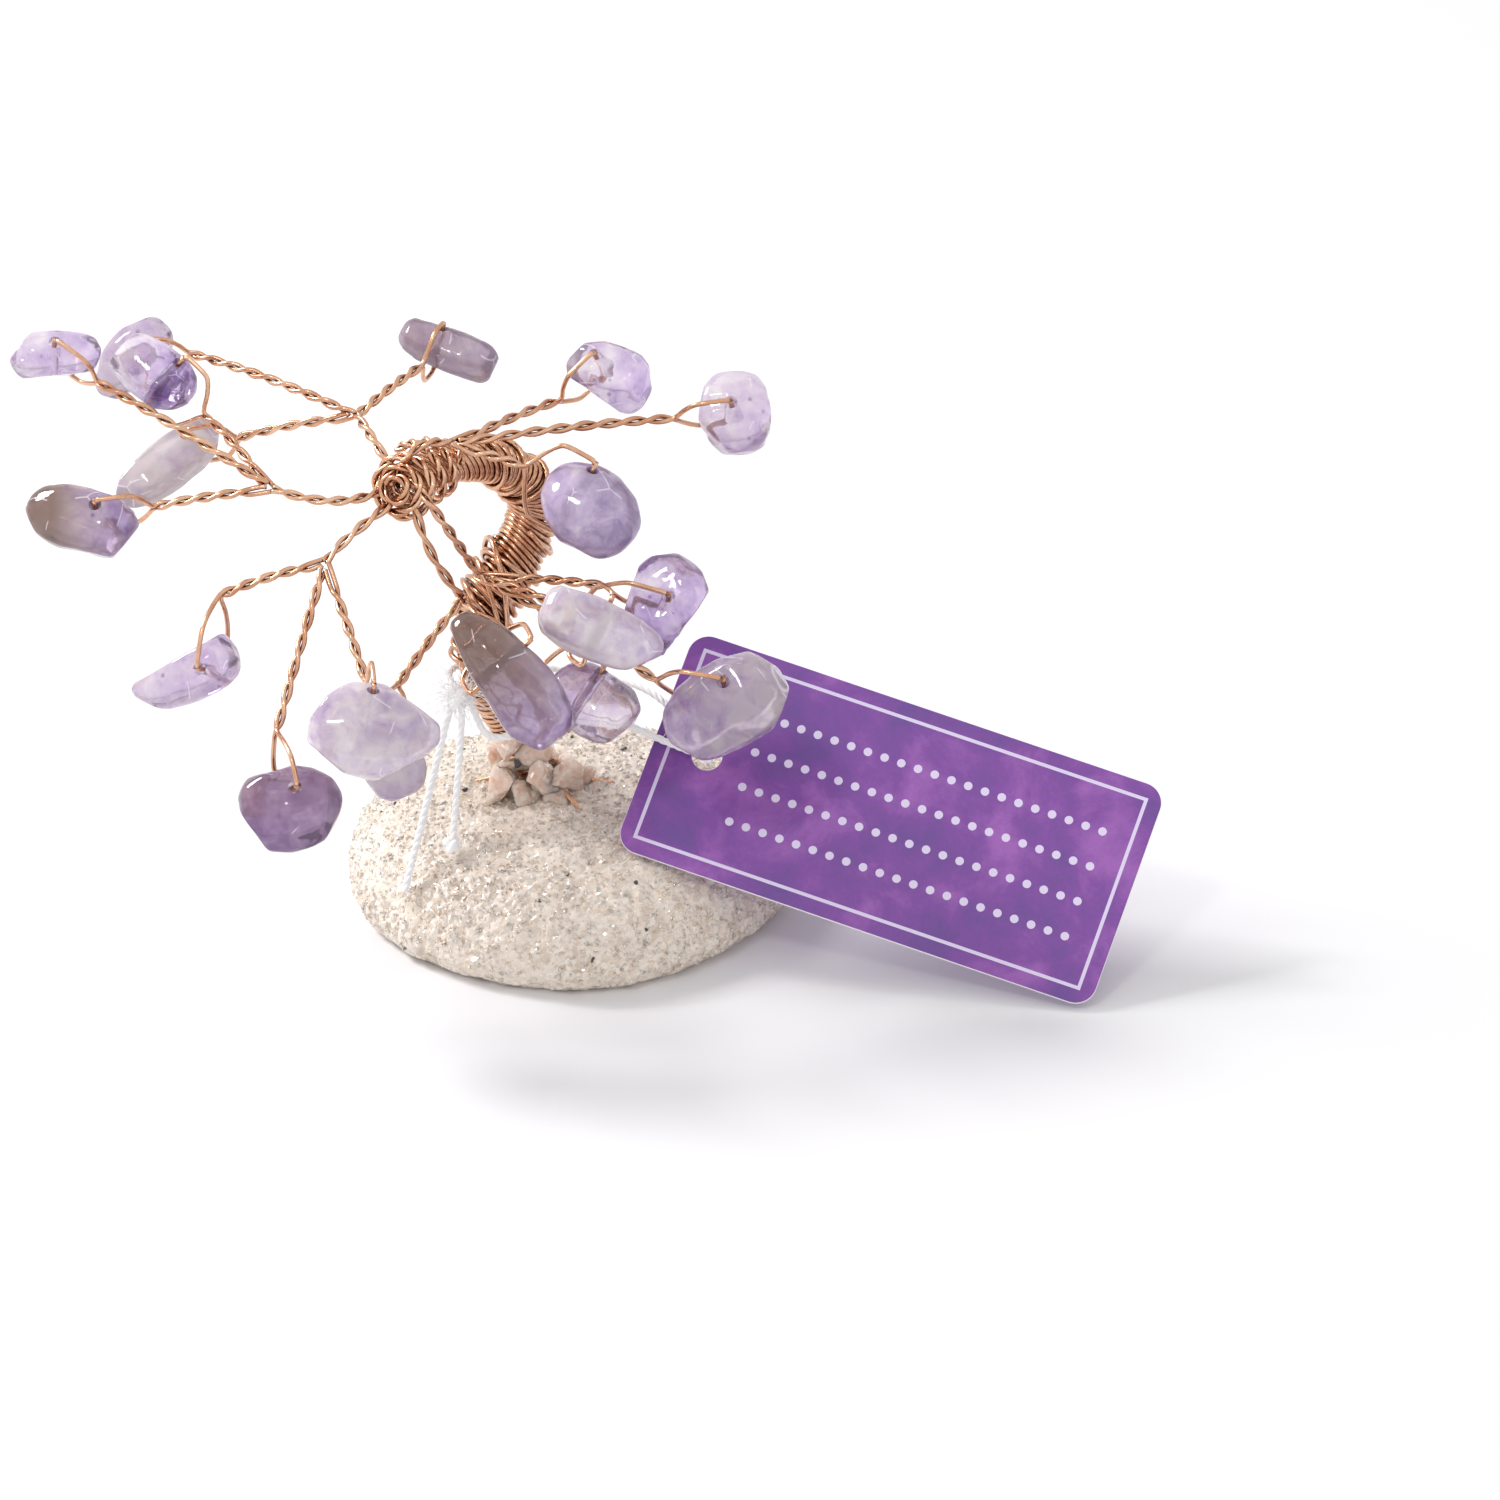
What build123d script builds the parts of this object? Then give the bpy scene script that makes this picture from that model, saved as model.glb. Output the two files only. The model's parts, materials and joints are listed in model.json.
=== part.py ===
from build123d import *
import math
import os
from collections import namedtuple

# Gemstone tree ornament: a copper wire tree with eighteen drilled quartz chips, set in a mound of
# crushed quartz, with a card tag on a knotted thread.
# All sizes are in millimetres. Z is up and the origin is the centre of the mound's flat underside.
# The front, where the tag shows its face, looks along -Y.

# Driving sizes of the tree
tree_reach = 50.0
wire_dia = 0.40
twist_pitch = 3.9
strand_gap = 0.06
chip_size = 8.0
bore_dia = 1.0
eye_clearance = 0.35
eye_bend = 0.55
eye_shoulder_share = 0.8
front_tilt = 28.0

# Driving sizes of the trunk
core_dia = 2.4
core_sink = 4.0
core_step = 1.4
winding_wire_dia = 0.40
winding_pitch = 1.36
winding_clearance = 0.12
crown_wire_dia = 0.80
crown_pitch = 1.50
crown_start_radius = 1.45
crown_flare = 0.7
crown_length = 3.6
crown_end_gap = 1.0
socket_clearance = 0.10

# Driving sizes of the mound
mound_radius = 18.4
mound_height = 10.0
lump_size = 2.4
lump_seat = 0.12
lump_rise_share = 0.40
root_start_share = 1.5
root_length = 4.2
root_rise = 0.7
root_seat = 0.15

# Driving sizes of the tag and its thread
tag_length = 39.6
tag_width = 18.8
tag_thickness = 0.40
tag_corner_radius = 1.7
tag_hole_dia = 2.4
tag_hole_inset = 4.4
tag_seat = 0.50
tag_ground_gap = 0.30
tag_heading = -15.3
tag_lean = 45.0
thread_dia = 0.60
knot_size = 2.2
end_knot_size = 1.25
overrun = 1.0

# Facet counts
wire_sides = 5
thread_sides = 6
core_sides = 10
chip_sides = 10
bore_sides = 12
lump_sides = 8
mound_sides = 24
steps_per_turn = 5
winding_steps = 10
eye_steps = 3
root_steps = 4
eye_bend_angles = (30, 60, 90)
search_steps = 40

FULL_TURN = 2 * math.pi
flat_tolerance = 1e-6
upright_share = 0.9


def place(shares):
    """A place in the tree, given as shares of its reach."""
    return Vector(*shares) * tree_reach


def view_directions():
    """The upward direction as seen from in front and above, and the direction to that viewer."""
    tilt = math.radians(front_tilt)
    return Vector(0, math.sin(tilt), math.cos(tilt)), Vector(0, -math.cos(tilt), math.sin(tilt))


def seen(turn, lean=0.0):
    """The direction that points `turn` degrees anticlockwise from +X as seen from in front and above,
    and leans `lean` degrees towards that viewer."""
    turned, leaned = math.radians(turn), math.radians(lean)
    upward, viewer = view_directions()
    flat = Vector(1, 0, 0) * math.cos(turned) + upward * math.sin(turned)
    return flat * math.cos(leaned) + viewer * math.sin(leaned)


def seen_turn(direction):
    """How far a direction is turned anticlockwise from +X, as seen from in front and above."""
    return math.atan2(direction.dot(view_directions()[0]), direction.X)


def squared(direction, axis):
    """The part of a direction that is square to an axis, as a unit vector."""
    return (direction - axis * direction.dot(axis)).normalized()


def mirrored(direction, normal):
    """A direction mirrored in the plane that normal is square to."""
    return direction - normal * (2 * direction.dot(normal) / normal.dot(normal))


def framed(points):
    """Each point with the path's direction there and two directions square to it that don't spin."""
    frames = []
    for i, point in enumerate(points):
        before = points[max(i - 1, 0)]
        after = points[min(i + 1, len(points) - 1)]
        ahead = (after - before).normalized()
        if i == 0:
            upright = Vector(0, 0, 1) if abs(ahead.Z) < upright_share else Vector(1, 0, 0)
            across = squared(upright.cross(ahead), ahead)
        else:
            step = point - before
            turned = mirrored(frames[-1][1], step)
            across = squared(mirrored(mirrored(frames[-1][2], step), ahead - turned), ahead)
        frames.append((point, ahead, across, ahead.cross(across)))
    return frames


def flat_face(corners):
    """A flat face with straight edges."""
    return Face(Wire.make_polygon(corners, close=True))


def skinned(rings):
    """A closed solid with flat faces, through rings of corners that match one to one."""
    faces = [flat_face(rings[0]), flat_face(rings[-1])]
    for near, far in zip(rings, rings[1:]):
        for k in range(len(near)):
            a, b = near[k], near[k - 1]
            d, c = far[k], far[k - 1]
            if abs((b - a).cross(d - a).normalized().dot(c - a)) < flat_tolerance:
                faces.append(flat_face([a, b, c, d]))
            else:
                faces += [flat_face([a, b, c]), flat_face([a, c, d])]
    return Solid(Shell(faces))


def tube(points, radius, sides):
    """One unbroken faceted wire along the points."""
    rings = []
    for point, ahead, across, upright in framed(points):
        corners = []
        for k in range(sides):
            angle = FULL_TURN * k / sides
            corners.append(point + (across * math.cos(angle) + upright * math.sin(angle)) * radius)
        rings.append(corners)
    return skinned(rings)


def sampled(curve, step):
    """Points along a curve, about a step apart."""
    count = max(3, math.ceil(curve.length / step))
    return [curve.position_at(i / count) for i in range(count + 1)]


def strands(curve, first_side, last_side):
    """Two strands twisted round each other along a curve, as two lists of points. The first strand
    starts on first_side and ends on last_side, which sets the twist nearest to the pitch."""
    frames = framed(sampled(curve, twist_pitch / steps_per_turn))
    first = math.atan2(first_side.dot(frames[0][3]), first_side.dot(frames[0][2]))
    last = math.atan2(last_side.dot(frames[-1][3]), last_side.dot(frames[-1][2]))
    turns = round(curve.length / twist_pitch + (last - first) / FULL_TURN)
    radius = (wire_dia + strand_gap) / 2
    pair = ([], [])
    for i, (point, ahead, across, upright) in enumerate(frames):
        share = i / (len(frames) - 1)
        angle = first + (last - first - FULL_TURN * turns) * share
        outward = across * math.cos(angle) + upright * math.sin(angle)
        pair[0].append(point + outward * radius)
        pair[1].append(point - outward * radius)
    return pair


# The trunk leans left, swings right and then arches back over to the crown.
trunk_shares = [
    (-0.048, -0.016, 0.190),
    (-0.066, -0.018, 0.235),
    (-0.126, -0.022, 0.352),
    (-0.143, -0.036, 0.460),
    (-0.112, -0.018, 0.542),
    (-0.068, 0.018, 0.612),
    (-0.057, 0.034, 0.676),
    (-0.086, 0.024, 0.730),
    (-0.142, -0.014, 0.763),
    (-0.206, -0.062, 0.774),
    (-0.244, -0.100, 0.774),
]
fork_share = 0.46
lower_start_share = 0.13
upper_end_share = 0.865

# Each stem leaves the crown at its first place, is drawn towards the second and ends at the third.
stem_shares = {
    "back": [(-0.267, -0.092, 0.787), (-0.300, -0.068, 0.832), (-0.328, 0.030, 0.822)],
    "rear_right": [(-0.251, -0.107, 0.800), (-0.232, -0.130, 0.862), (-0.176, -0.086, 0.828)],
    "left": [(-0.267, -0.092, 0.762), (-0.336, -0.176, 0.748), (-0.450, -0.150, 0.782)],
    "front_left": [(-0.251, -0.107, 0.750), (-0.340, -0.210, 0.726), (-0.366, -0.240, 0.700)],
    "right": [(-0.235, -0.122, 0.787), (-0.190, -0.170, 0.740), (-0.134, -0.110, 0.612)],
    "front": [(-0.235, -0.122, 0.762), (-0.224, -0.166, 0.682), (-0.160, -0.140, 0.588)],
}

# Each twig starts `gap` from its stem's end, has its twist end at `tip` and sags by `bow`. Its chip
# hangs from there towards `hang`, is drilled along `hole`, has its length along `long` and its flat
# face towards `face`: turn and lean, in degrees. Its size is in shares of the chip size, `hole_at` in
# shares of its half sizes, and `slack` is how far its rim stays from the twist, in chip sizes.
Twig = namedtuple("Twig", "stem gap tip bow hang hole long face size taper square hole_at slack")
twig_shares = {
    "left_1": Twig("left", 0.012, (-0.728, 0.000, 0.893), 0.010, (139, 10), (60, 70), (5, -12),
                   (90, 75), (0.95, 0.50, 0.46), -0.12, 2.6, (0.00, 0.25, 0.0), 0.10),
    "left_2": Twig("left", 0.046, (-0.566, 0.000, 0.838), 0.012, (135, -8), (50, 25), (-35, 10),
                   (60, 65), (0.95, 0.62, 0.46), 0.12, 2.3, (0.30, 0.05, 0.0), 0.12),
    "left_3": Twig("left", 0.034, (-0.636, -0.140, 0.745), 0.006, (186, 5), (90, 68), (-17, 15),
                   (90, 80), (1.18, 0.65, 0.52), 0.10, 2.7, (0.22, 0.30, 0.0), 0.13),
    "back_1": Twig("back", 0.012, (-0.600, 0.200, 0.850), 0.014, (172, 4), (100, 72), (45, 8),
                   (90, 80), (1.00, 0.58, 0.50), 0.10, 2.4, (0.35, -0.15, 0.0), 0.12),
    "back_2": Twig("back", 0.038, (-0.524, 0.140, 0.730), 0.008, (192, -10), (110, 60), (38, -15),
                   (110, 70), (1.26, 0.52, 0.50), 0.06, 2.8, (0.50, 0.00, 0.0), 0.12),
    "back_3": Twig("back", 0.016, (-0.229, 0.170, 0.844), 0.006, (57, -50), (75, 35), (-22, 10),
                   (75, 60), (1.08, 0.44, 0.44), 0.03, 3.2, (-0.20, 0.00, 0.0), 0.14),
    "rear_right_1": Twig("rear_right", 0.048, (-0.010, 0.100, 0.816), 0.006, (45, -5), (120, 70),
                         (-25, -12), (90, 75), (0.92, 0.68, 0.50), 0.10, 2.4, (-0.32, 0.20, 0.0), 0.12),
    "rear_right_2": Twig("rear_right", 0.014, (0.170, 0.040, 0.812), 0.010, (9, 5), (100, 76),
                         (100, -10), (90, 80), (0.86, 0.76, 0.58), 0.08, 2.8, (0.10, 0.05, 0.0), 0.16),
    "rear_right_3": Twig("rear_right", 0.038, (-0.060, -0.090, 0.789), 0.004, (-28, 0), (62, 28),
                         (-45, 8), (60, 70), (1.08, 0.88, 0.68), 0.04, 2.2, (-0.30, 0.05, 0.0), 0.16),
    "front_left_1": Twig("front_left", 0.026, (-0.526, -0.280, 0.662), 0.010, (262, 0), (170, 70),
                         (25, 12), (90, 75), (1.18, 0.58, 0.46), 0.28, 2.3, (0.38, -0.20, 0.0), 0.30),
    "front_left_2": Twig("front_left", 0.014, (-0.436, -0.428, 0.504), 0.006, (279, -5), (20, 72),
                         (3, 8), (90, 80), (1.05, 0.90, 0.62), -0.05, 2.4, (-0.04, 0.42, 0.0), 0.26),
    "front_left_3": Twig("front_left", 0.044, (-0.300, -0.376, 0.562), 0.006, (-80, 45), (80, 45),
                         (-4, -8), (90, 78), (1.32, 0.94, 0.66), -0.05, 2.8, (-0.05, 0.30, -0.20), 0.12),
    "right_1": Twig("right", 0.054, (0.064, -0.152, 0.614), 0.006, (-14, 6), (75, 76), (82, -10),
                    (90, 82), (1.06, 0.86, 0.58), 0.08, 2.2, (0.02, -0.02, 0.0), 0.13),
    "right_2": Twig("right", 0.034, (0.018, -0.226, 0.604), 0.006, (-35, 55), (66, 10), (-24, -6),
                    (66, 80), (1.32, 0.62, 0.55), -0.14, 2.8, (-0.05, 0.00, -0.10), 0.14),
    "right_3": Twig("right", 0.014, (0.143, -0.262, 0.506), 0.010, (-8, 10), (95, 72), (32, 10),
                    (90, 78), (1.34, 0.90, 0.66), 0.06, 2.7, (0.10, 0.28, 0.0), 0.17),
    "front_1": Twig("front", 0.020, (-0.260, -0.220, 0.476), 0.006, (252, 0), (170, 70), (-72, 5),
                    (90, 75), (1.00, 0.66, 0.50), 0.05, 2.6, (-0.40, 0.00, 0.0), 0.12),
    "front_2": Twig("front", 0.020, (-0.118, -0.296, 0.590), 0.006, (-62, 52), (42, 8), (-51, 5),
                    (42, 80), (1.62, 0.70, 0.60), 0.22, 2.5, (-0.15, 0.00, -0.12), 0.12),
    "front_3": Twig("front", 0.020, (-0.040, -0.160, 0.478), 0.006, (-35, 18), (60, 15), (-30, 12),
                    (60, 70), (0.98, 0.72, 0.52), 0.06, 2.4, (-0.15, 0.00, 0.0), 0.12),
}
lump_form_shares = (0.95, 0.80, 0.80)
lump_taper_share = 0.1
lump_square_share = 2.6
chip_station_shares = (-0.97, -0.82, -0.45, 0.0, 0.45, 0.82, 0.97)
lump_station_shares = (-0.95, -0.6, 0.0, 0.6, 0.95)

# The mound's side as shares of its radius and height, from the underside to the top
mound_profile_shares = [
    (0.930, 0.00),
    (0.985, 0.09),
    (1.000, 0.20),
    (0.970, 0.38),
    (0.890, 0.58),
    (0.740, 0.78),
    (0.530, 0.92),
    (0.280, 0.98),
    (0.090, 1.00),
]
mound_wave_shares = ((3, 0.5, 0.018), (5, 2.0, 0.012))

# Angle about the trunk's foot, distance from it in lump sizes, and size, of each quartz lump
lump_shares = [
    (-80, 1.15, 0.88),
    (-25, 1.20, 0.75),
    (28, 1.10, 0.80),
    (85, 1.20, 0.70),
    (140, 1.20, 0.80),
    (195, 1.20, 0.65),
    (240, 1.20, 0.70),
]
root_angles = (-51, 1, 58, 112, 169)

# The thread is one piece: up its first tail to the knot, down and along in front of the trunk to the
# tag's hole, back behind the tag and the trunk to the knot, and down its second tail.
thread_route = [
    (-12.9, -11.6, 5.7),
    (-11.9, -9.6, 9.0),
    (-10.7, -7.3, 13.4),
    (-9.7, -5.3, 17.0),
    (-9.1, -4.3, 19.0),
    (-8.5, -3.9, 19.7),
    (-7.8, -4.2, 19.1),
    (-7.3, -4.5, 17.7),
    (-6.6, -4.7, 16.1),
    (-5.2, -4.7, 15.7),
    (-3.4, -4.5, 16.4),
    (0.0, -4.2, 16.9),
    (4.2, -4.2, 17.0),
    (7.4, -5.2, 15.9),
    (9.8, -6.1, 15.3),
    (10.9, -6.5, 15.0),
    (11.2, -5.2, 13.8),
    (10.3, -3.7, 14.5),
    (8.8, -1.7, 16.1),
    (6.6, 0.2, 17.5),
    (3.2, 1.8, 18.0),
    (-1.0, 2.2, 18.4),
    (-4.6, 2.2, 18.9),
    (-7.4, 1.8, 19.2),
    (-9.1, 0.2, 19.7),
    (-9.6, -2.0, 20.0),
    (-9.1, -3.6, 20.2),
    (-8.3, -4.9, 19.2),
    (-8.4, -5.7, 17.2),
    (-8.7, -7.2, 13.6),
    (-9.0, -9.2, 9.8),
    (-9.2, -10.2, 8.5),
]
arc_share = 0.45

# How many places along the route, from its start and from its end, the loop knot is
loop_knot_steps = (5, -6)
knot_form_shares = (1.0, 0.90, 0.85)
knot_square_share = 2.2

# Where the tag's lower left corner is seated, as shares of the mound's radius
tag_corner_share = (0.20, -0.575)


def trunk_curve():
    """The line down the middle of the trunk."""
    return Spline(*[place(shares) for shares in trunk_shares])


def trunk_core():
    """The bundle of all the sprays' wires, from its socket in the mound to the crown."""
    foot = place(trunk_shares[0])
    sunk = [foot - Vector(0, 0, core_sink), foot - Vector(0, 0, core_sink / 2)]
    return tube(sunk + sampled(trunk_curve(), core_step), core_dia / 2, core_sides)


def wound(start_share, end_share, radius, pitch, wire, steps, flare=0.0):
    """The points of a wire wound round a stretch of the trunk."""
    curve = trunk_curve()
    length = curve.length * (end_share - start_share)
    count = max(steps, round(steps * length / pitch))
    stations = [start_share + (end_share - start_share) * i / count for i in range(count + 1)]
    points = []
    for i, frame in enumerate(framed([curve.position_at(share) for share in stations])):
        point, ahead, across, upright = frame
        angle = FULL_TURN * i / steps
        outward = across * math.cos(angle) + upright * math.sin(angle)
        points.append(point + outward * (radius + wire / 2 + flare * i / count))
    return points


def least_gap(points, wire, steps):
    """How near a winding comes to its own next turn, from surface to surface."""
    far = range(len(points))
    pairs = ((i, j) for i in far for j in far if j - i > steps / 2)
    return min((points[i] - points[j]).length for i, j in pairs) - wire


def winding(start_share, end_share, label):
    """One length of close wire wound on the trunk, as one unbroken tube."""
    radius = core_dia / 2 + winding_clearance
    points = wound(start_share, end_share, radius, winding_pitch, winding_wire_dia, winding_steps)
    gap = least_gap(points, winding_wire_dia, winding_steps)
    print(label, "turns", round((len(points) - 1) / winding_steps, 1), "least gap", round(gap, 2))
    return tube(points, winding_wire_dia / 2, wire_sides)


def crown_wrap():
    """The thick turns of paired wire that bind the bundle's end into the crown."""
    curve = trunk_curve()
    end_share = 1 - crown_end_gap / curve.length
    start_share = end_share - crown_length / curve.length
    points = wound(start_share, end_share, crown_start_radius, crown_pitch, crown_wire_dia,
                   winding_steps, crown_flare)
    gap = least_gap(points, crown_wire_dia, winding_steps)
    print("crown_wrap turns", round((len(points) - 1) / winding_steps, 1), "least gap", round(gap, 2))
    return tube(points, crown_wire_dia / 2, thread_sides)


def chip_axes(twig):
    """The chip's length, width and thickness directions."""
    long = seen(*twig.long)
    face = squared(seen(*twig.face), long)
    return long, face.cross(long), face


def chip_width_share(station, taper, square):
    """How wide the chip is at a station of its half length, as a share of its full width."""
    round_share = max(0.0, 1 - abs(station) ** square) ** (1 / square)
    return round_share * (1 + taper * station)


def skin_distance(twig, start, direction):
    """How far it is from a point inside the chip, given from its centre, to its skin."""
    axes = chip_axes(twig)
    halves = [share * chip_size / 2 for share in twig.size]
    inside, outside = 0.0, chip_size * sum(twig.size)
    for _ in range(search_steps):
        middle = (inside + outside) / 2
        at = start + direction * middle
        station = at.dot(axes[0]) / halves[0]
        reach = chip_width_share(station, twig.taper, twig.square) if abs(station) < 1 else 0
        if reach == 0:
            outside = middle
            continue
        across = abs(at.dot(axes[1])) / (halves[1] * reach)
        through = abs(at.dot(axes[2])) / (halves[2] * reach)
        if across ** twig.square + through ** twig.square < 1:
            inside = middle
        else:
            outside = middle
    return inside


# How one chip hangs: its centre, its bore's middle and direction, the way from the twist to the bore,
# that distance, and how far the skin is from the bore's middle each way along the bore and back to the
# twist.
Hung = namedtuple("Hung", "centre bore hole hang reach front back rim")


def hung(twig):
    """Works out how a chip hangs in its wire eye."""
    axes = chip_axes(twig)
    hole = seen(*twig.hole)
    hang = squared(seen(*twig.hang), hole)
    offset = Vector(0, 0, 0)
    for axis, share, half in zip(axes, twig.size, twig.hole_at):
        offset += axis * (share * chip_size / 2 * half)
    front = skin_distance(twig, offset, hole)
    back = skin_distance(twig, offset, hole * -1)
    rim = skin_distance(twig, offset, hang * -1)
    reach = rim + twig.slack * chip_size + eye_clearance
    bore = place(twig.tip) + hang * reach
    middle = bore + hole * ((front - back) / 2)
    return Hung(bore - offset, middle, hole, hang, reach, front, back, rim)


def eye_points(twig):
    """The open wire from the twist, through the chip's bore and back to the twist."""
    held = hung(twig)
    tip = place(twig.tip)
    spread = (wire_dia + strand_gap) / 2
    shoulder = held.reach - eye_shoulder_share * held.rim
    outs = (held.front + eye_clearance + wire_dia / 2, held.back + eye_clearance + wire_dia / 2)
    legs = []
    for out, way in ((outs[0], held.hole), (outs[1], held.hole * -1)):
        leg = []
        for i in range(1, eye_steps + 1):
            share = i / eye_steps
            swell = math.sin(share * math.pi / 2)
            leg.append(tip + held.hang * (shoulder * share) + way * (spread + (out - spread) * swell))
        leg.append(tip + held.hang * (held.reach - eye_bend) + way * out)
        for turned in eye_bend_angles:
            angle = math.radians(turned)
            along = held.reach - eye_bend + eye_bend * math.sin(angle)
            leg.append(tip + held.hang * along + way * (out - eye_bend + eye_bend * math.cos(angle)))
        legs.append(leg)
    return legs[0] + legs[1][::-1]


# An arm of a spray's fork: its direction from the fork, and its wire out from the fork and back.
Arm = namedtuple("Arm", "direction out back")


def fork_side(direction):
    """The side of an arm that faces the next arm, anticlockwise as seen from in front and above."""
    return squared(view_directions()[1].cross(direction.normalized()), direction.normalized())


def stem_arm(name):
    """A spray's stem, as the arm of the fork on which the wire arrives and leaves."""
    start, via, fork = [place(shares) for shares in stem_shares[name]]
    side = fork_side(via - fork)
    arriving, leaving = strands(Bezier(start, via, fork), side, side)
    return Arm((via - fork).normalized(), leaving[::-1], arriving)


def twig_arm(twig):
    """A twig with its open eye, as an arm of the fork."""
    tip = place(twig.tip)
    fork = place(stem_shares[twig.stem][2])
    start = fork + (tip - fork).normalized() * (twig.gap * tree_reach)
    via = (start + tip) / 2 + Vector(0, 0, 1) * (twig.bow * tree_reach)
    out, back = strands(Bezier(start, via, tip), fork_side(via - start) * -1, hung(twig).hole)
    return Arm((via - start).normalized(), out + eye_points(twig) + back[::-1], [])


def crotch(fork, arm, other):
    """Where the wire turns between two neighbouring arms of a fork."""
    half_turn = math.acos(max(-1.0, min(1.0, arm.direction.dot(other.direction)))) / 2
    between = arm.direction + other.direction
    if between.length < flat_tolerance:
        between = fork_side(arm.direction)
    return fork + between.normalized() * ((wire_dia + strand_gap) / 2 / math.sin(half_turn))


def spray(name):
    """A spray: one unbroken wire, twisted on itself along its stem and its three twigs, with an open
    eye at the end of each twig for its chip."""
    fork = place(stem_shares[name][2])
    trunk_arm = stem_arm(name)
    arms = [twig_arm(twig) for twig in twig_shares.values() if twig.stem == name]
    arms.sort(key=lambda arm: (seen_turn(arm.direction) - seen_turn(trunk_arm.direction)) % FULL_TURN)
    points = list(trunk_arm.back)
    for arm, following in zip([trunk_arm] + arms, arms + [trunk_arm]):
        points += arm.out if arm is not trunk_arm else []
        points.append(crotch(fork, arm, following))
    points += trunk_arm.out
    return tube(points, wire_dia / 2, wire_sides)


def pebble(centre, axes, sizes, taper, square, stations, sides):
    """A tumbled stone: rounded sections along its length, joined by flats."""
    rings = []
    for station in stations:
        reach = chip_width_share(station, taper, square)
        middle = centre + axes[0] * (sizes[0] / 2 * station)
        corners = []
        for k in range(sides):
            angle = FULL_TURN * (k + 0.5) / sides
            across = math.copysign(abs(math.cos(angle)) ** (2 / square), math.cos(angle))
            through = math.copysign(abs(math.sin(angle)) ** (2 / square), math.sin(angle))
            corners.append(middle + axes[1] * (sizes[1] / 2 * reach * across)
                           + axes[2] * (sizes[2] / 2 * reach * through))
        rings.append(corners)
    return skinned(rings)


def chip(name):
    """A drilled, tumbled quartz chip."""
    twig = twig_shares[name]
    held = hung(twig)
    sizes = [share * chip_size for share in twig.size]
    stone = pebble(held.centre, chip_axes(twig), sizes, twig.taper, twig.square,
                   chip_station_shares, chip_sides)
    section = Plane(origin=held.bore, z_dir=held.hole) * RegularPolygon(bore_dia / 2, bore_sides)
    return stone - extrude(section, (held.front + held.back) / 2 + overrun, both=True)


def mound_wave(angle):
    """The uneven outline of the mound, as a share of its radius."""
    return 1 + sum(share * math.sin(count * angle + phase) for count, phase, share in mound_wave_shares)


def mound_surface(x, y):
    """How high the mound's upper surface is at a place."""
    out = math.hypot(x, y) / (mound_radius * mound_wave(math.atan2(y, x)))
    upper = mound_profile_shares[2:]
    if out <= upper[-1][0]:
        return mound_height
    for (outer, low), (inner, high) in zip(upper, upper[1:]):
        if inner <= out <= outer:
            return mound_height * (low + (high - low) * (outer - out) / (outer - inner))
    return 0.0


def base_mound():
    """The cast mound of crushed quartz, with the socket that the trunk is set in."""
    rings = []
    for out, up in mound_profile_shares:
        corners = []
        for k in range(mound_sides):
            angle = FULL_TURN * k / mound_sides
            radius = mound_radius * out * mound_wave(angle)
            corners.append(Vector(radius * math.cos(angle), radius * math.sin(angle), mound_height * up))
        rings.append(corners)
    foot = place(trunk_shares[0])
    floor = foot.Z - core_sink - socket_clearance
    depth = mound_height + overrun - floor
    socket = Pos(foot.X, foot.Y, floor + depth / 2) * Cylinder(core_dia / 2 + socket_clearance, depth)
    return skinned(rings) - socket


def foot_quartz():
    """The clear quartz lumps glued round the trunk's foot, each seated on the mound."""
    foot = trunk_at(mound_height)
    lumps = []
    for turn, out, size in lump_shares:
        angle = math.radians(turn)
        across = Vector(math.cos(angle), math.sin(angle), 0)
        ahead = Vector(-math.sin(angle), math.cos(angle), 0)
        at = foot + across * (core_dia / 2 + lump_size / 2 * out)
        tall = lump_size * size
        rim = [mound_surface(at.X + x, at.Y + y) for x in (-tall / 2, 0, tall / 2)
               for y in (-tall / 2, 0, tall / 2)]
        centre = Vector(at.X, at.Y, max(rim) + lump_seat + tall * lump_rise_share)
        axes = (ahead, across, Vector(0, 0, 1))
        sizes = [tall * share for share in lump_form_shares]
        lumps.append(pebble(centre, axes, sizes, lump_taper_share, lump_square_share,
                            lump_station_shares, lump_sides))
    return Compound(lumps)


def trunk_at(height):
    """The trunk's middle at a height near its foot."""
    foot, above = place(trunk_shares[0]), place(trunk_shares[1])
    return foot + (above - foot) * ((height - foot.Z) / (above.Z - foot.Z))


def root_wires():
    """The cut ends of the bundle, splayed over the mound like roots."""
    foot = trunk_at(mound_height)
    start_out = core_dia / 2 + socket_clearance + root_start_share * wire_dia
    roots = []
    for turn in root_angles:
        angle = math.radians(turn)
        points = []
        for i in range(root_steps + 1):
            share = i / root_steps
            out = start_out + root_length * share
            x, y = foot.X + out * math.cos(angle), foot.Y + out * math.sin(angle)
            rise = root_rise * (1 - share) ** 3
            points.append(Vector(x, y, mound_surface(x, y) + root_seat + wire_dia / 2 + rise))
        roots.append(tube(points, wire_dia / 2, wire_sides))
    return Compound(roots)


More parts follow.
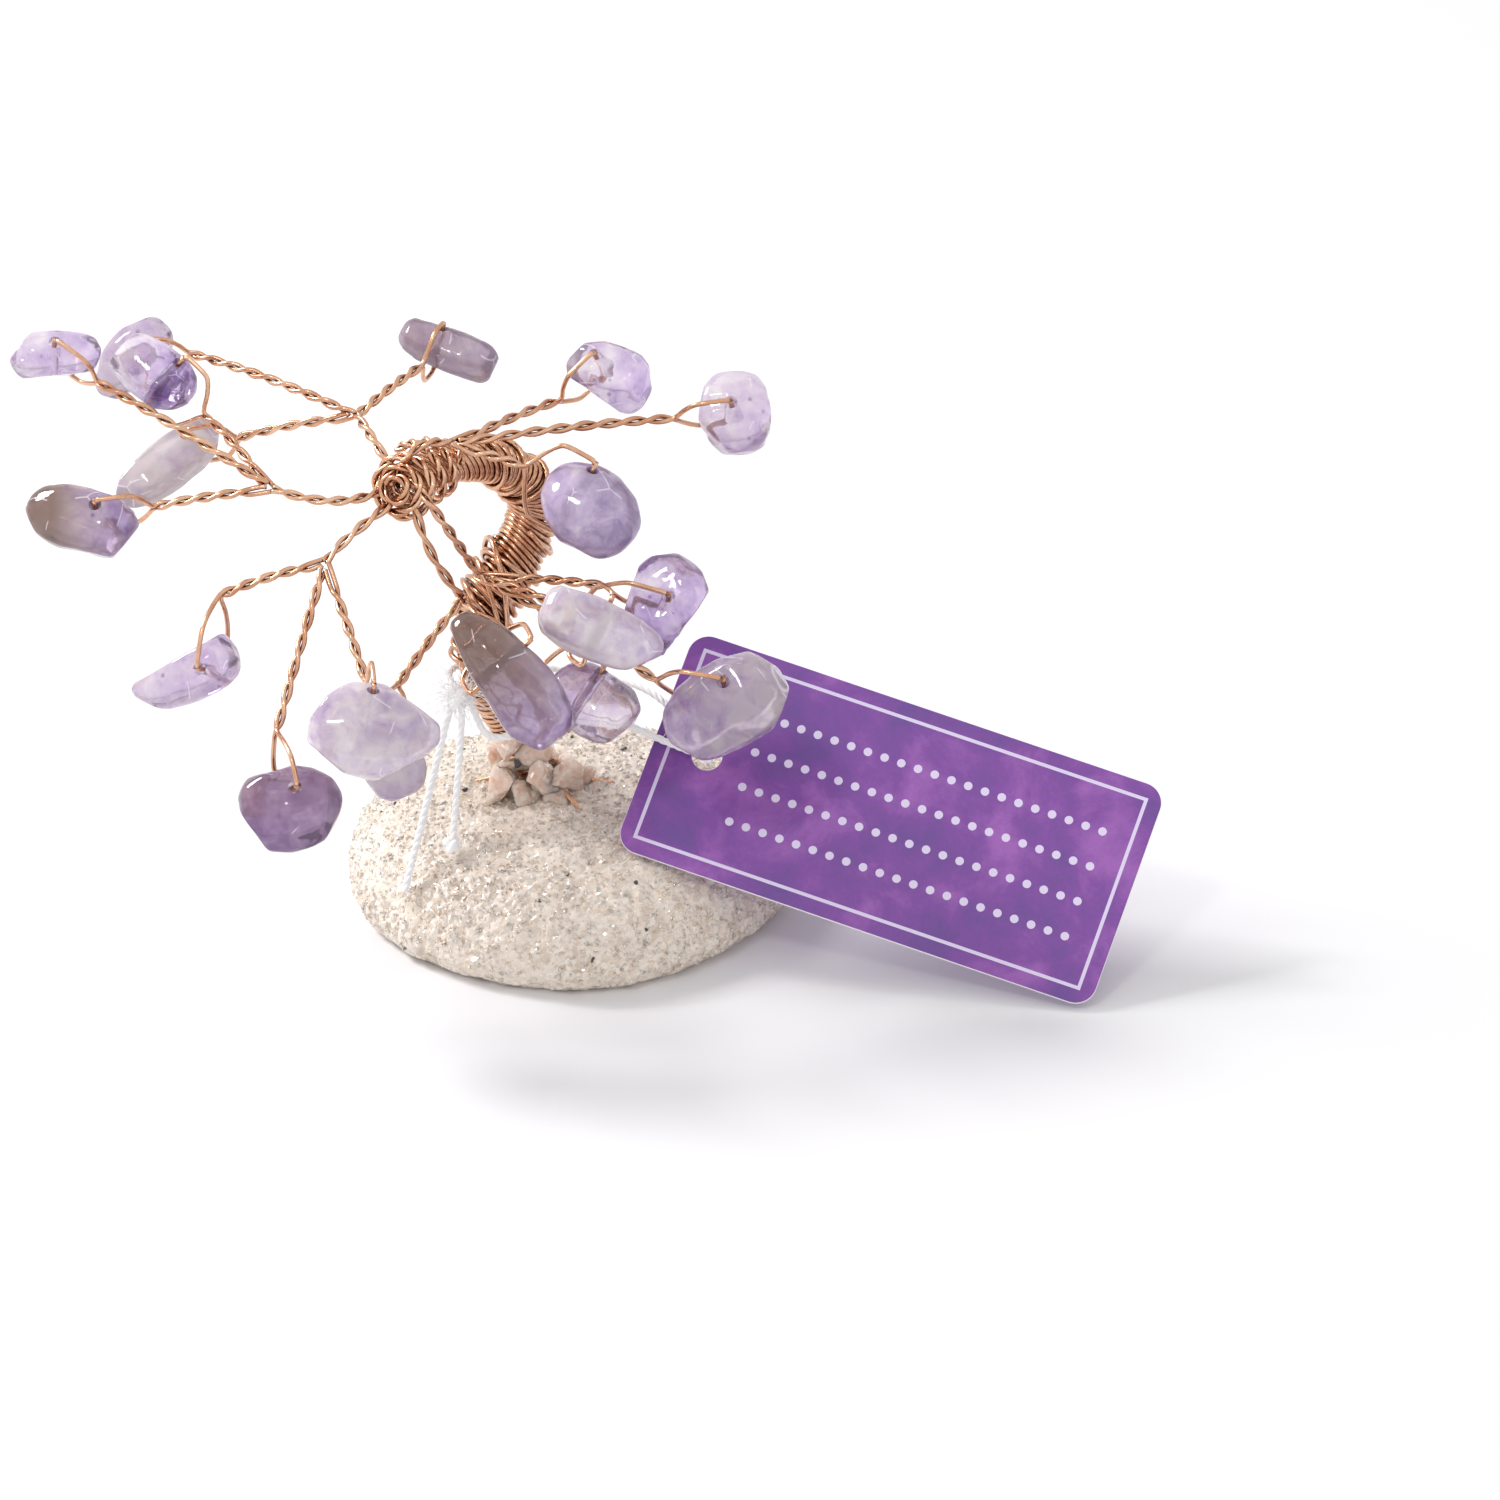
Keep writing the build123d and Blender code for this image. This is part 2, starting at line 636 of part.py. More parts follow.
def tag_frame():
    """The tag's plane at its hole, with X along its length. The tag's lower left corner is seated on
    the mound, its lower right corner just over the ground, and its face leans back."""
    heading, lean = math.radians(tag_heading), math.radians(tag_lean)
    seat_x, seat_y = mound_radius * tag_corner_share[0], mound_radius * tag_corner_share[1]
    corner = Vector(seat_x, seat_y, mound_surface(seat_x, seat_y) + tag_seat)
    slope = math.asin((corner.Z - tag_ground_gap) / tag_length)
    level = Vector(math.cos(heading), math.sin(heading), 0)
    along = level * math.cos(slope) - Vector(0, 0, 1) * math.sin(slope)
    rearward = Vector(0, 0, 1).cross(level)
    upward = rearward * math.cos(lean) + along.cross(rearward) * math.sin(lean)
    hole = corner + along * tag_hole_inset + upward * (tag_width / 2)
    return Plane(origin=hole, x_dir=along, z_dir=along.cross(upward))


def tag_card():
    """The punched card, with rounded corners."""
    outline = RectangleRounded(tag_length, tag_width, tag_corner_radius)
    sketch = Pos(tag_length / 2 - tag_hole_inset, 0) * outline - Circle(tag_hole_dia / 2)
    return extrude(tag_frame() * sketch, tag_thickness / 2, both=True)


def thread_path():
    """The thread's middle line: straight runs joined by arcs as large as the runs allow."""
    points = [Vector(*point) for point in thread_route]
    radii = []
    for before, at, after in zip(points, points[1:], points[2:]):
        turn = math.radians((at - before).get_angle(after - at))
        run = min((at - before).length, (after - at).length)
        radii.append(arc_share * run / math.tan(turn / 2))
    print("thread radii", [round(radius, 1) for radius in radii])
    return FilletPolyline(*points, radius=radii)


def knot_lump(centre, size):
    """A drawn-up thread knot, as a small rounded lump."""
    axes = (Vector(0, 0, 1), Vector(1, 0, 0), Vector(0, 1, 0))
    sizes = [size * share for share in knot_form_shares]
    return pebble(centre, axes, sizes, 0.0, knot_square_share, lump_station_shares, lump_sides)


def tag_thread():
    """The thread that ties the tag to the trunk, with the knot that closes its loop and the stop
    knot at the end of its second tail."""
    path = thread_path()
    section = Plane(origin=path.position_at(0), z_dir=path.tangent_at(0)) * RegularPolygon(
        thread_dia / 2, thread_sides)
    strand = sweep(section, path)
    share = strand.volume / section.area / path.length
    print("thread length", round(path.length, 1), "volume share", round(share, 4))
    arriving, leaving = [Vector(*thread_route[i]) for i in loop_knot_steps]
    return strand + knot_lump((arriving + leaving) / 2, knot_size) + knot_lump(
        Vector(*thread_route[-1]), end_knot_size)


def write(shape, name):
    """Writes one node's file."""
    export_step(shape, f"parts/{name}.step")


def main():
    os.makedirs("parts", exist_ok=True)
    write(base_mound(), "base_mound")
    write(foot_quartz(), "foot_quartz")
    write(root_wires(), "root_wires")
    write(trunk_core(), "trunk_core")
    write(winding(lower_start_share, fork_share, "winding_lower"), "winding_lower")
    write(winding(fork_share, upper_end_share, "winding_upper"), "winding_upper")
    write(crown_wrap(), "crown_wrap")
    for name in stem_shares:
        write(spray(name), f"spray_{name}")
    for name in twig_shares:
        write(chip(name), f"chip_{name}")
    write(tag_card(), "tag_card")
    write(tag_thread(), "tag_thread")


main()
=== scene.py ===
# Gemstone tree: tumbled quartz chips hung on twisted copper wire, on a mound of quartz grit.
import json
import math

import bmesh
import bpy
import numpy as np
from bpy.props import FloatProperty, FloatVectorProperty, IntProperty, PointerProperty
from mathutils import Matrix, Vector, kdtree, noise


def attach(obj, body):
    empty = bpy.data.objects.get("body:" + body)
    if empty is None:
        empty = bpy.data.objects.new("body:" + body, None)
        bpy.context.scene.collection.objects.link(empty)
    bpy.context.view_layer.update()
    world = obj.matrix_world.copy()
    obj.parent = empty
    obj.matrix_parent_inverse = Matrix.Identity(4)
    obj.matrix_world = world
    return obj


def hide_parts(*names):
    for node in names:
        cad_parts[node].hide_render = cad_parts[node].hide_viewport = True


bl_info = {
    "name": "Gemstone tree",
    "version": (1, 0, 0),
    "blender": (4, 5, 0),
    "location": "3D View > Sidebar > Gem tree",
    "description": "Dresses a tree of quartz chips on twisted copper wire, with its mound and tag",
    "category": "Object",
}

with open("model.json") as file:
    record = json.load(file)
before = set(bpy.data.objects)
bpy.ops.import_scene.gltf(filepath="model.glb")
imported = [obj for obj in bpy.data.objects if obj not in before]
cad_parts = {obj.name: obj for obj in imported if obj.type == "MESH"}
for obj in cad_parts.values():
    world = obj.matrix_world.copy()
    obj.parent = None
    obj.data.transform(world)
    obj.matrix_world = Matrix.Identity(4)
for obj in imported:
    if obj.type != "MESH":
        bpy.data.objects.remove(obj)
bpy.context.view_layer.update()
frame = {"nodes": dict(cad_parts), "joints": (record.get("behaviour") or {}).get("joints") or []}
MM = 0.001
# In metres: how close doubled corners of the CAD's triangles lie, and how flat a tube's cap is
TRIANGLE_WELD = 2e-6
PLANE_TOLERANCE = 6e-6


def linear(hex_colour):
    """An sRGB hex colour as linear red, green, blue and alpha."""
    found = []
    for place in (1, 3, 5):
        value = int(hex_colour[place:place + 2], 16) / 255
        found.append(value / 12.92 if value <= 0.04045 else ((value + 0.055) / 1.055) ** 2.4)
    return (*found, 1.0)


def tone(label, hint, hex_colour):
    """A colour that a user may change."""
    return FloatVectorProperty(name=label, description=hint, subtype="COLOR", size=4,
                               min=0.0, max=1.0, default=linear(hex_colour))


def length(label, hint, value):
    """A length in metres that a user may change, given here in millimetres."""
    return FloatProperty(name=label, description=hint, default=value * MM, min=0.0,
                         unit="LENGTH", subtype="DISTANCE", precision=5)


class WireSettings(bpy.types.PropertyGroup):
    """Sizes and colours of the copper wire."""
    diameter: length("Wire diameter", "Diameter of the craft wire", 0.40)
    sides: IntProperty(name="Sides", description="Sides of each wire's section", default=8, min=5)
    coil_wire: length("Coil wire", "Diameter of the wire wound round the trunk", 0.46)
    coil_pitch: length("Coil pitch", "Distance between the turns round the trunk", 0.48)
    coil_lean: FloatProperty(name="Coil lean", description="How far a turn leans, as a share of its radius",
                             default=0.75)
    copper: tone("Copper", "Bright drawn copper", "#DFB596")
    tarnish: tone("Tarnish", "Copper where it has darkened", "#C69272")
    # Painted shade: the dark brown that the copper takes in the grooves between touching wires
    painted_groove_shade: tone("Groove", "Brown residue in the grooves between wires", "#6A3828")


class StoneSettings(bpy.types.PropertyGroup):
    """Sizes and colours of the tumbled chips."""
    grain: length("Mesh grain", "Edge length of a chip's mesh", 0.20)
    bore: length("Bore", "Diameter of the drilled hole", 1.0)
    wear: length("Wear", "Height of the tumbled stone's soft lumps", 0.16)
    clear: tone("Clear quartz", "Colourless part of the stone", "#F6EDF2")
    lavender: tone("Lavender", "Pale amethyst", "#C7AFD9")
    violet: tone("Violet", "Deep amethyst", "#70419A")
    smoke: tone("Smoke", "Smoky brown quartz", "#785240")
    veil: tone("Veils", "Milky clouds and healed cracks", "#F6F2F7")
    flake: tone("Flakes", "Dark violet mineral flakes", "#4A3180")


class MoundSettings(bpy.types.PropertyGroup):
    """Sizes and colours of the cast mound."""
    grain: length("Mesh grain", "Edge length of the mound's mesh", 0.42)
    grit: length("Grit", "Middle size of a grain of crushed quartz", 0.46)
    grains: IntProperty(name="Grains", description="Grains that stand out of the resin", default=15000)
    specks: IntProperty(name="Specks", description="Black mineral grains", default=34)
    cream: tone("Cream", "Cream grains", "#F0E4D7")
    beige: tone("Beige", "Beige and tan grains", "#D4C1AE")
    milk: tone("Milky", "Milk-white grains", "#FBF8F4")
    # Painted light: a pink tone standing in for the copper seen glowing through the clear lumps
    painted_copper_glow: tone("Rose", "Clear lumps with the copper showing through", "#EACBB8")
    black: tone("Black", "Dark mineral grains", "#2B2A2C")


class TagSettings(bpy.types.PropertyGroup):
    """Sizes and colours of the card tag and its thread."""
    thread: length("Thread diameter", "Diameter of the cotton thread", 0.60)
    ply_pitch: length("Ply pitch", "Length of one twist of the thread's plies", 2.1)
    purple: tone("Purple ink", "Main printed colour", "#7A4399")
    lilac: tone("Lilac ink", "Pinker, lighter mottling of the print", "#975AAC")
    violet: tone("Violet ink", "Bluer, darker mottling of the print", "#68428F")
    pale: tone("Pale ink", "Frame line and dots", "#D9CDE8")
    paper: tone("Paper", "White cut edge", "#FBF8FC")
    cotton: tone("Cotton", "Bleached cotton thread", "#FFFFFF")


GROUPS = {"gem_wire": WireSettings, "gem_stone": StoneSettings,
          "gem_mound": MoundSettings, "gem_tag": TagSettings}


# Shape helpers

# Rings of corners about a tube's tip: how many are averaged, and how many may belong to its flat cap
TIP_RINGS = 9
CAP_RINGS = 6
# Openness of a wire's skin, which sets the copper's painted shade, in its radii: how far out it is
# measured, and the gaps for shut and wide open
SHADE_REACH = 1.2
SHADE_SHUT = 0.5
SHADE_OPEN = 2.0


def mesh_of(name, points, faces):
    """A mesh of points and faces."""
    mesh = bpy.data.meshes.new(name)
    mesh.from_pydata([tuple(p) for p in points], [], [tuple(int(i) for i in f) for f in faces])
    return mesh


def mesh_from(name, bm):
    """A mesh of a bmesh, which is used up."""
    mesh = bpy.data.meshes.new(name)
    bm.to_mesh(mesh)
    bm.free()
    return mesh


def linked(name, data):
    """A new object of the data, in the scene."""
    thing = bpy.data.objects.new(name, data)
    bpy.context.scene.collection.objects.link(thing)
    return thing


def settle(thing, body, materials, replaces=(), smooth=True):
    """Gives a piece its finish, ties it to its body, and hides the CAD nodes that it stands for."""
    mesh = thing.data
    mesh.polygons.foreach_set("use_smooth", [smooth] * len(mesh.polygons))
    for material in materials:
        mesh.materials.append(material)
    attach(thing, body)
    if replaces:
        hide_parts(*replaces)
    return thing


def piece(name, points, faces, body, materials, replaces=(), smooth=True):
    """A new mesh object that rides on a body and takes the given finish."""
    mesh = mesh_of(name, points, faces)
    mesh.validate()
    return settle(linked(name, mesh), body, materials, replaces, smooth)


def baked(thing):
    """Applies an object's modifiers to its own mesh."""
    graph = bpy.context.evaluated_depsgraph_get()
    mesh = bpy.data.meshes.new_from_object(thing.evaluated_get(graph))
    old = thing.data
    thing.modifiers.clear()
    thing.data = mesh
    bpy.data.meshes.remove(old)
    return mesh


def evened(thing, grain):
    """Gives an object an even mesh whose edges have the grain's length."""
    remesh = thing.modifiers.new("even", "REMESH")
    remesh.mode = "VOXEL"
    remesh.voxel_size = grain
    return baked(thing)


def corners_of(mesh, kind="co"):
    """A mesh's corner places or normals as rows."""
    rows = np.zeros(len(mesh.vertices) * 3)
    mesh.vertices.foreach_get(kind, rows)
    return rows.reshape(-1, 3)


def moved(mesh, points):
    """Puts a mesh's corners at the given places."""
    mesh.vertices.foreach_set("co", points.ravel())
    mesh.update()


def mark(mesh, name, values):
    """Writes a number to each of a mesh's corners, for its material to read."""
    mesh.attributes.new(name, "FLOAT", "POINT").data.foreach_set("value", np.asarray(values, np.float32))


def middle_of(rows):
    """The middle of the box round rows of places."""
    return (rows.max(axis=0) + rows.min(axis=0)) / 2


def hull_of(points):
    """A convex body round the points, as a bmesh."""
    bm = bmesh.new()
    for point in points:
        bm.verts.new(point)
    bmesh.ops.convex_hull(bm, input=bm.verts)
    bmesh.ops.delete(bm, geom=[v for v in bm.verts if not v.link_faces], context="VERTS")
    return bm


def welded(node):
    """A CAD node's corners and triangles, with doubled corners joined."""
    mesh = frame["nodes"][node].data
    points = corners_of(mesh)
    mesh.calc_loop_triangles()
    corners = np.zeros(len(mesh.loop_triangles) * 3, int)
    mesh.loop_triangles.foreach_get("vertices", corners)
    _, first, index = np.unique(np.round(points / TRIANGLE_WELD), axis=0,
                                return_index=True, return_inverse=True)
    return points[first], index.reshape(-1)[corners].reshape(-1, 3)


def neighbours(points, triangles):
    """For each corner, the corners that it shares a triangle with."""
    near = [set() for _ in points]
    for a, b, c in triangles:
        near[a] |= {b, c}
        near[b] |= {a, c}
        near[c] |= {a, b}
    return near


def levels(near, start):
    """Sets of corners by their distance along edges from the start set."""
    seen = set(start)
    rings = [sorted(start)]
    while True:
        ahead = {b for a in rings[-1] for b in near[a]} - seen
        if not ahead:
            return rings
        seen |= ahead
        rings.append(sorted(ahead))


def loose_parts(near):
    """Each part that hangs together, as sets of corners by their distance from its first corner."""
    left = set(range(len(near)))
    while left:
        spread = levels(near, {min(left)})
        left -= {i for ring in spread for i in ring}
        yield spread


def end_ring(points, near, fans, tip):
    """The corners of the flat cap that holds the corner tip."""
    nearby = levels(near, {tip})[:TIP_RINGS]
    middle = points[[i for ring in nearby for i in ring]].mean(axis=0)
    close = [i for ring in nearby[:CAP_RINGS] for i in ring]
    best = (0.0, ())
    for a, b, c in fans[tip]:
        normal = np.cross(points[b] - points[a], points[c] - points[a])
        normal = normal / max(np.linalg.norm(normal), 1e-18)
        reach = abs(float(normal @ (middle - points[tip])))
        flat = [i for i in close if abs(float(normal @ (points[i] - points[tip]))) < PLANE_TOLERANCE]
        best = max(best, (reach, tuple(flat)))
    return best[1]


def centre_lines(node):
    """The centre line of each tube in a CAD node, as arrays of points."""
    points, triangles = welded(node)
    near = neighbours(points, triangles)
    fans = [[] for _ in points]
    for triangle in triangles:
        for corner in triangle:
            fans[corner].append(tuple(triangle))
    found = []
    for spread in loose_parts(near):
        ring = end_ring(points, near, fans, spread[-1][0])
        found.append(np.array([points[r].mean(axis=0) for r in levels(near, set(ring))]))
    return found


def rounded_line(points, steps):
    """A smooth line through the points, with that many steps between neighbours."""
    points = np.asarray(points, float)
    ends = np.vstack([2 * points[0] - points[1], points, 2 * points[-1] - points[-2]])
    shares = np.linspace(0, 1, steps, endpoint=False)[:, None]
    runs = []
    for p0, p1, p2, p3 in zip(ends[:-3], ends[1:-2], ends[2:-1], ends[3:]):
        runs.append(0.5 * (2 * p1 + (p2 - p0) * shares + (2 * p0 - 5 * p1 + 4 * p2 - p3) * shares ** 2
                           + (3 * p1 - p0 - 3 * p2 + p3) * shares ** 3))
    return np.vstack(runs + [points[-1:]])


def unit(rows):
    """Rows scaled to length one."""
    rows = np.asarray(rows, float)
    return rows / np.maximum(np.linalg.norm(rows, axis=-1, keepdims=True), 1e-15)


def run_along(line):
    """How far along a line each of its points lies."""
    return np.concatenate([[0], np.cumsum(np.linalg.norm(np.diff(line, axis=0), axis=1))])


def read_off(rows, run, place):
    """Rows read off at places along their run."""
    return np.array([np.interp(place, run, rows[:, k]) for k in range(3)]).T


def even_line(line, step):
    """The line again, at even steps of about the given length."""
    line = np.asarray(line)
    run = run_along(line)
    count = max(3, int(round(run[-1] / step)) + 1)
    return read_off(line, run, np.linspace(0, 1, count) * run[-1])


def carried_frames(line):
    """Two directions across the line at each point, carried along it without twist."""
    ahead = unit(np.gradient(line, axis=0))
    first = np.cross(ahead[0], (0.0, 0.0, 1.0))
    if np.linalg.norm(first) < 0.1:
        first = np.cross(ahead[0], (1.0, 0.0, 0.0))
    side = unit(first)
    sides = [side]
    for direction in ahead[1:]:
        side = side - direction * float(side @ direction)
        side = side / np.linalg.norm(side)
        sides.append(side)
    sides = np.array(sides)
    return ahead, sides, np.cross(ahead, sides)


def about(side, up, angle):
    """Directions at angles between side and up."""
    return side * np.cos(angle)[:, None] + up * np.sin(angle)[:, None]


def tube_mesh(line, radii, sides, start=0):
    """Points and faces of a closed round tube along a line, numbered from start."""
    line = np.asarray(line, float)
    radii = np.broadcast_to(np.asarray(radii, float), (len(line),))
    _, across, up = carried_frames(line)
    ring = about(across[:, None], up[:, None], np.arange(sides) * 2 * math.pi / sides)
    points = (line[:, None] + ring * radii[:, None, None]).reshape(-1, 3)
    faces = []
    for i in range(len(line) - 1):
        for j in range(sides):
            a = start + i * sides + j
            b = start + i * sides + (j + 1) % sides
            faces.append((a, b, b + sides, a + sides))
    faces.append(tuple(range(start + sides - 1, start - 1, -1)))
    faces.append(tuple(start + (len(line) - 1) * sides + j for j in range(sides)))
    return points, faces


def tubes(lines, radii, sides):
    """One mesh of several tubes."""
    points = []
    faces = []
    count = 0
    for line, radius in zip(lines, radii):
        more, quads = tube_mesh(line, radius, sides, count)
        points.append(more)
        faces.extend(quads)
        count += len(more)
    return np.vstack(points), faces


def mark_openness_for_shade(thing, lines, radius):
    """Writes to a wire's mesh how open each corner lies, for the copper's painted shade: 0 against another
    wire, 1 with nothing near.
    """
    close = [point for line in lines for point in even_line(line, radius)]
    found = kdtree.KDTree(len(close))
    for i, point in enumerate(close):
        found.insert(point, i)
    found.balance()
    shares = []
    for vertex in thing.data.vertices:
        _, _, far = found.find(vertex.co + vertex.normal * radius * SHADE_REACH)
        shares.append(min(max((far / radius - SHADE_SHUT) / (SHADE_OPEN - SHADE_SHUT), 0.0), 1.0))
    mark(thing.data, "open", shares)


def fbm(point, size, seed, octaves=3):
    """Soft noise of about -1 to 1 whose largest lumps are that size."""
    place = Vector(point) / size + Vector((seed * 7.31, seed * 3.17, seed * 1.71))
    return noise.fractal(place, 0.9, 2.1, octaves)


# Materials

# How steeply each crystal's face may lean in the grit, as a rise over a run
CRYSTAL_TILT = 0.7
QUARTZ_IOR = 1.54


def fill(tree, node, values):
    """Sets a node's settings and inputs by name or number. A node or socket as the value is linked."""
    for key, value in values.items():
        if isinstance(value, bpy.types.Node):
            value = value.outputs[0]
        if isinstance(value, bpy.types.NodeSocket):
            tree.links.new(value, node.inputs[key])
        elif isinstance(key, str) and hasattr(node, key):
            setattr(node, key, value)
        else:
            node.inputs[key].default_value = value
    return node


def add(tree, kind, values=None):
    """Adds a shader node with its settings, constants and links."""
    return fill(tree, tree.nodes.new("ShaderNode" + kind), values or {})


def grey(value):
    """A number as a grey for a colour socket. Anything else stays as it is."""
    return (value, value, value, 1.0) if isinstance(value, (int, float)) else value


def ramp(tree, source, *stops, smooth=False):
    """A colour ramp over a source, from stops of place and colour or number."""
    node = add(tree, "ValToRGB", {"Fac": source})
    node.color_ramp.interpolation = "EASE" if smooth else "LINEAR"
    while len(node.color_ramp.elements) < len(stops):
        node.color_ramp.elements.new(0.5)
    for element, (place, colour) in zip(node.color_ramp.elements, stops):
        element.position = place
        element.color = grey(colour)
    return node.outputs["Color"]


def mixed(tree, share, first, second, mode="MIX"):
    """Two colours mixed by a share, each a constant or a socket."""
    node = add(tree, "Mix", {"data_type": "RGBA", "blend_type": mode, 0: share,
                             6: grey(first), 7: grey(second)})
    return node.outputs[2]


def started(name, coordinates="Object"):
    """A new material, its nodes, its Principled shader and the coordinates that its patterns follow."""
    material = bpy.data.materials.new(name)
    material.use_nodes = True
    tree = material.node_tree
    return material, tree, tree.nodes["Principled BSDF"], add(tree, "TexCoord").outputs[coordinates]


def copper_material(settings):
    """Soft-drawn copper craft wire, lacquered: a pink-gold metal, bright along the top of each turn, with
    painted shade in the grooves between wires that touch.
    """
    material, tree, shader, place = started("copper_drawn_lacquered")
    # Patches about 3 mm long where the lacquer has let the copper darken
    patches = add(tree, "TexNoise", {"Scale": 1 / (3.0 * MM), "Detail": 4.0, "Roughness": 0.6,
                                     "Vector": place})
    shade = ramp(tree, patches, (0.38, settings.tarnish), (0.62, settings.copper))
    # Painted shade: the colour turns dark brown in the grooves between wires that touch, where shade falls
    open_share = add(tree, "Attribute", {"attribute_name": "open"}).outputs["Fac"]
    unshaded_share = ramp(tree, open_share, (0.15, 0.0), (0.80, 1.0))
    # Die marks are a few microns wide, drawn at 0.08 mm so that they show
    marks = add(tree, "TexNoise", {"Scale": 1 / (0.08 * MM), "Detail": 2.0, "Vector": place})
    fill(tree, shader, {
        "Base Color": mixed(tree, unshaded_share, settings.painted_groove_shade, shade),
        "Metallic": 1.0,
        "Roughness": ramp(tree, marks, (0.3, 0.16), (0.7, 0.30)),
        "Normal": add(tree, "Bump", {"Strength": 0.15, "Distance": 0.02 * MM, "Height": marks}),
    })
    return material


def stone_material(name, stone, milk, clear_share, rough, specks):
    """Tumbled quartz, polished in a barrel: a glassy skin over colour zones, milky clouds and healed
    cracks."""
    material, tree, shader, place = started(name)
    zone, smoke = [add(tree, "Attribute", {"attribute_name": layer}).outputs["Fac"]
                   for layer in ("zone", "smoke")]
    # Colour strays from the crystal's growth bands over about 2 mm
    wander = add(tree, "TexNoise", {"Scale": 1 / (2.0 * MM), "Detail": 4.0, "Roughness": 0.6,
                                    "Distortion": 0.5, "Vector": place})
    shift = add(tree, "Math", {"operation": "MULTIPLY_ADD", 0: wander, 1: 2.0, 2: -1.0})
    total = add(tree, "Math", {"operation": "ADD", "use_clamp": True, 0: zone, 1: shift})
    body = ramp(tree, total, (0.0, stone.clear), (0.5, stone.lavender), (1.0, stone.violet))
    body = mixed(tree, smoke, body, stone.smoke)
    # Dark flakes of iron mineral 0.3 mm wide, in some of the cells of a 1.1 mm grid
    flakes = add(tree, "TexVoronoi", {"Scale": 1 / (1.1 * MM), "Vector": place})
    chance = add(tree, "SeparateColor", {"Color": flakes.outputs["Color"]})
    chosen = add(tree, "Math", {"operation": "LESS_THAN", 0: chance, 1: specks}).outputs[0]
    spots = ramp(tree, flakes.outputs["Distance"], (0.10, 0.8), (0.22, 0.0))
    body = mixed(tree, mixed(tree, 1.0, spots, chosen, "MULTIPLY"), body, stone.flake)
    # Milky clouds about 4 mm wide, soft at their edges
    cloud = add(tree, "TexNoise", {"Scale": 1 / (4.0 * MM), "Detail": 3.0, "Roughness": 0.5,
                                   "Vector": place})
    clouds = ramp(tree, cloud, (0.35, milk * 0.45), (0.72, milk), smooth=True)
    # Healed cracks: thin flat bright sheets about 5 mm apart, broken up by patches of 2 mm
    sheet = add(tree, "TexVoronoi", {"feature": "DISTANCE_TO_EDGE", "Scale": 1 / (5.0 * MM),
                                     "Vector": place})
    patch = add(tree, "TexNoise", {"Scale": 1 / (2.0 * MM), "Detail": 1.0, "Vector": place})
    cracks = mixed(tree, 1.0, ramp(tree, sheet.outputs["Distance"], (0.0, 0.7), (0.015, 0.0)),
                   ramp(tree, patch, (0.55, 0.0), (0.60, 1.0)), "MULTIPLY")
    veils = mixed(tree, 1.0, cracks, clouds, "SCREEN")
    # Barrel polish leaves orange-peel pits of about 0.3 mm
    pits = add(tree, "TexNoise", {"Scale": 1 / (0.35 * MM), "Detail": 3.0, "Vector": place})
    fill(tree, shader, {
        "Base Color": mixed(tree, veils, body, stone.veil),
        "Transmission Weight": mixed(tree, veils, clear_share, clear_share * 0.35),
        "Roughness": ramp(tree, pits, (0.5, rough), (0.8, rough + 0.05)),
        "Normal": add(tree, "Bump", {"Strength": 0.04, "Distance": 0.04 * MM, "Height": pits}),
        "IOR": QUARTZ_IOR,
        "Subsurface Weight": 0.4,
        "Subsurface Radius": (1.0, 0.8, 1.0),
        "Subsurface Scale": 2.0 * MM,
    })
    return material


def grit_material(name, colour, other, clear_share, rough, glow=0.0):
    """Crushed quartz set in clear casting resin: broken faces that glint, wet-looking under the resin."""
    material, tree, shader, place = started(name)
    # Each crystal of about 0.4 mm has its own shade, polish and tilt
    cells = add(tree, "TexVoronoi", {"Scale": 1 / (0.4 * MM), "Vector": place})
    spread = add(tree, "SeparateColor", {"Color": cells.outputs["Color"]})
    cloud = add(tree, "TexNoise", {"Scale": 1 / (4.0 * MM), "Detail": 2.0, "Vector": place})
    share = add(tree, "Math", {"operation": "MULTIPLY", 0: spread, 1: cloud})
    # Its face is a plane through the crystal's middle, with a random slope
    inward = add(tree, "VectorMath", {"operation": "SUBTRACT", 0: place, 1: cells.outputs["Position"]})
    slope = add(tree, "VectorMath", {"operation": "SUBTRACT", 0: cells.outputs["Color"],
                                     1: (0.5, 0.5, 0.5)})
    height = add(tree, "VectorMath", {"operation": "DOT_PRODUCT", 0: inward, 1: slope})
    facets = add(tree, "Bump", {"Strength": 1.0, "Distance": CRYSTAL_TILT,
                                "Height": height.outputs["Value"]})
    # Light that has passed through about 1 mm of the lump softens its shadows
    fill(tree, shader, {
        "Base Color": ramp(tree, share, (0.15, colour), (0.6, other)),
        "Roughness": ramp(tree, spread.outputs[1], (0.35, rough), (0.60, rough + 0.35)),
        "Normal": facets,
        "IOR": QUARTZ_IOR,
        "Transmission Weight": clear_share,
        "Coat Weight": 0.7,
        "Coat Roughness": 0.05,
        "Coat Normal": facets,
        "Subsurface Weight": glow,
        "Subsurface Radius": (0.9, 0.9, 0.9),
        "Subsurface Scale": 1.0 * MM,
    })
    return material


def past_edge(tree, place, reach):
    """How far a place lies past the edge of a rectangle round zero, in mm."""
    sizes = add(tree, "VectorMath", {"operation": "ABSOLUTE", 0: place})
    over = add(tree, "VectorMath", {"operation": "SUBTRACT", 0: sizes, 1: (*reach, 0.0)})
    sides = add(tree, "SeparateXYZ", {0: over})
    return add(tree, "Math", {"operation": "MAXIMUM", 0: sides.outputs[0], 1: sides.outputs[1]})


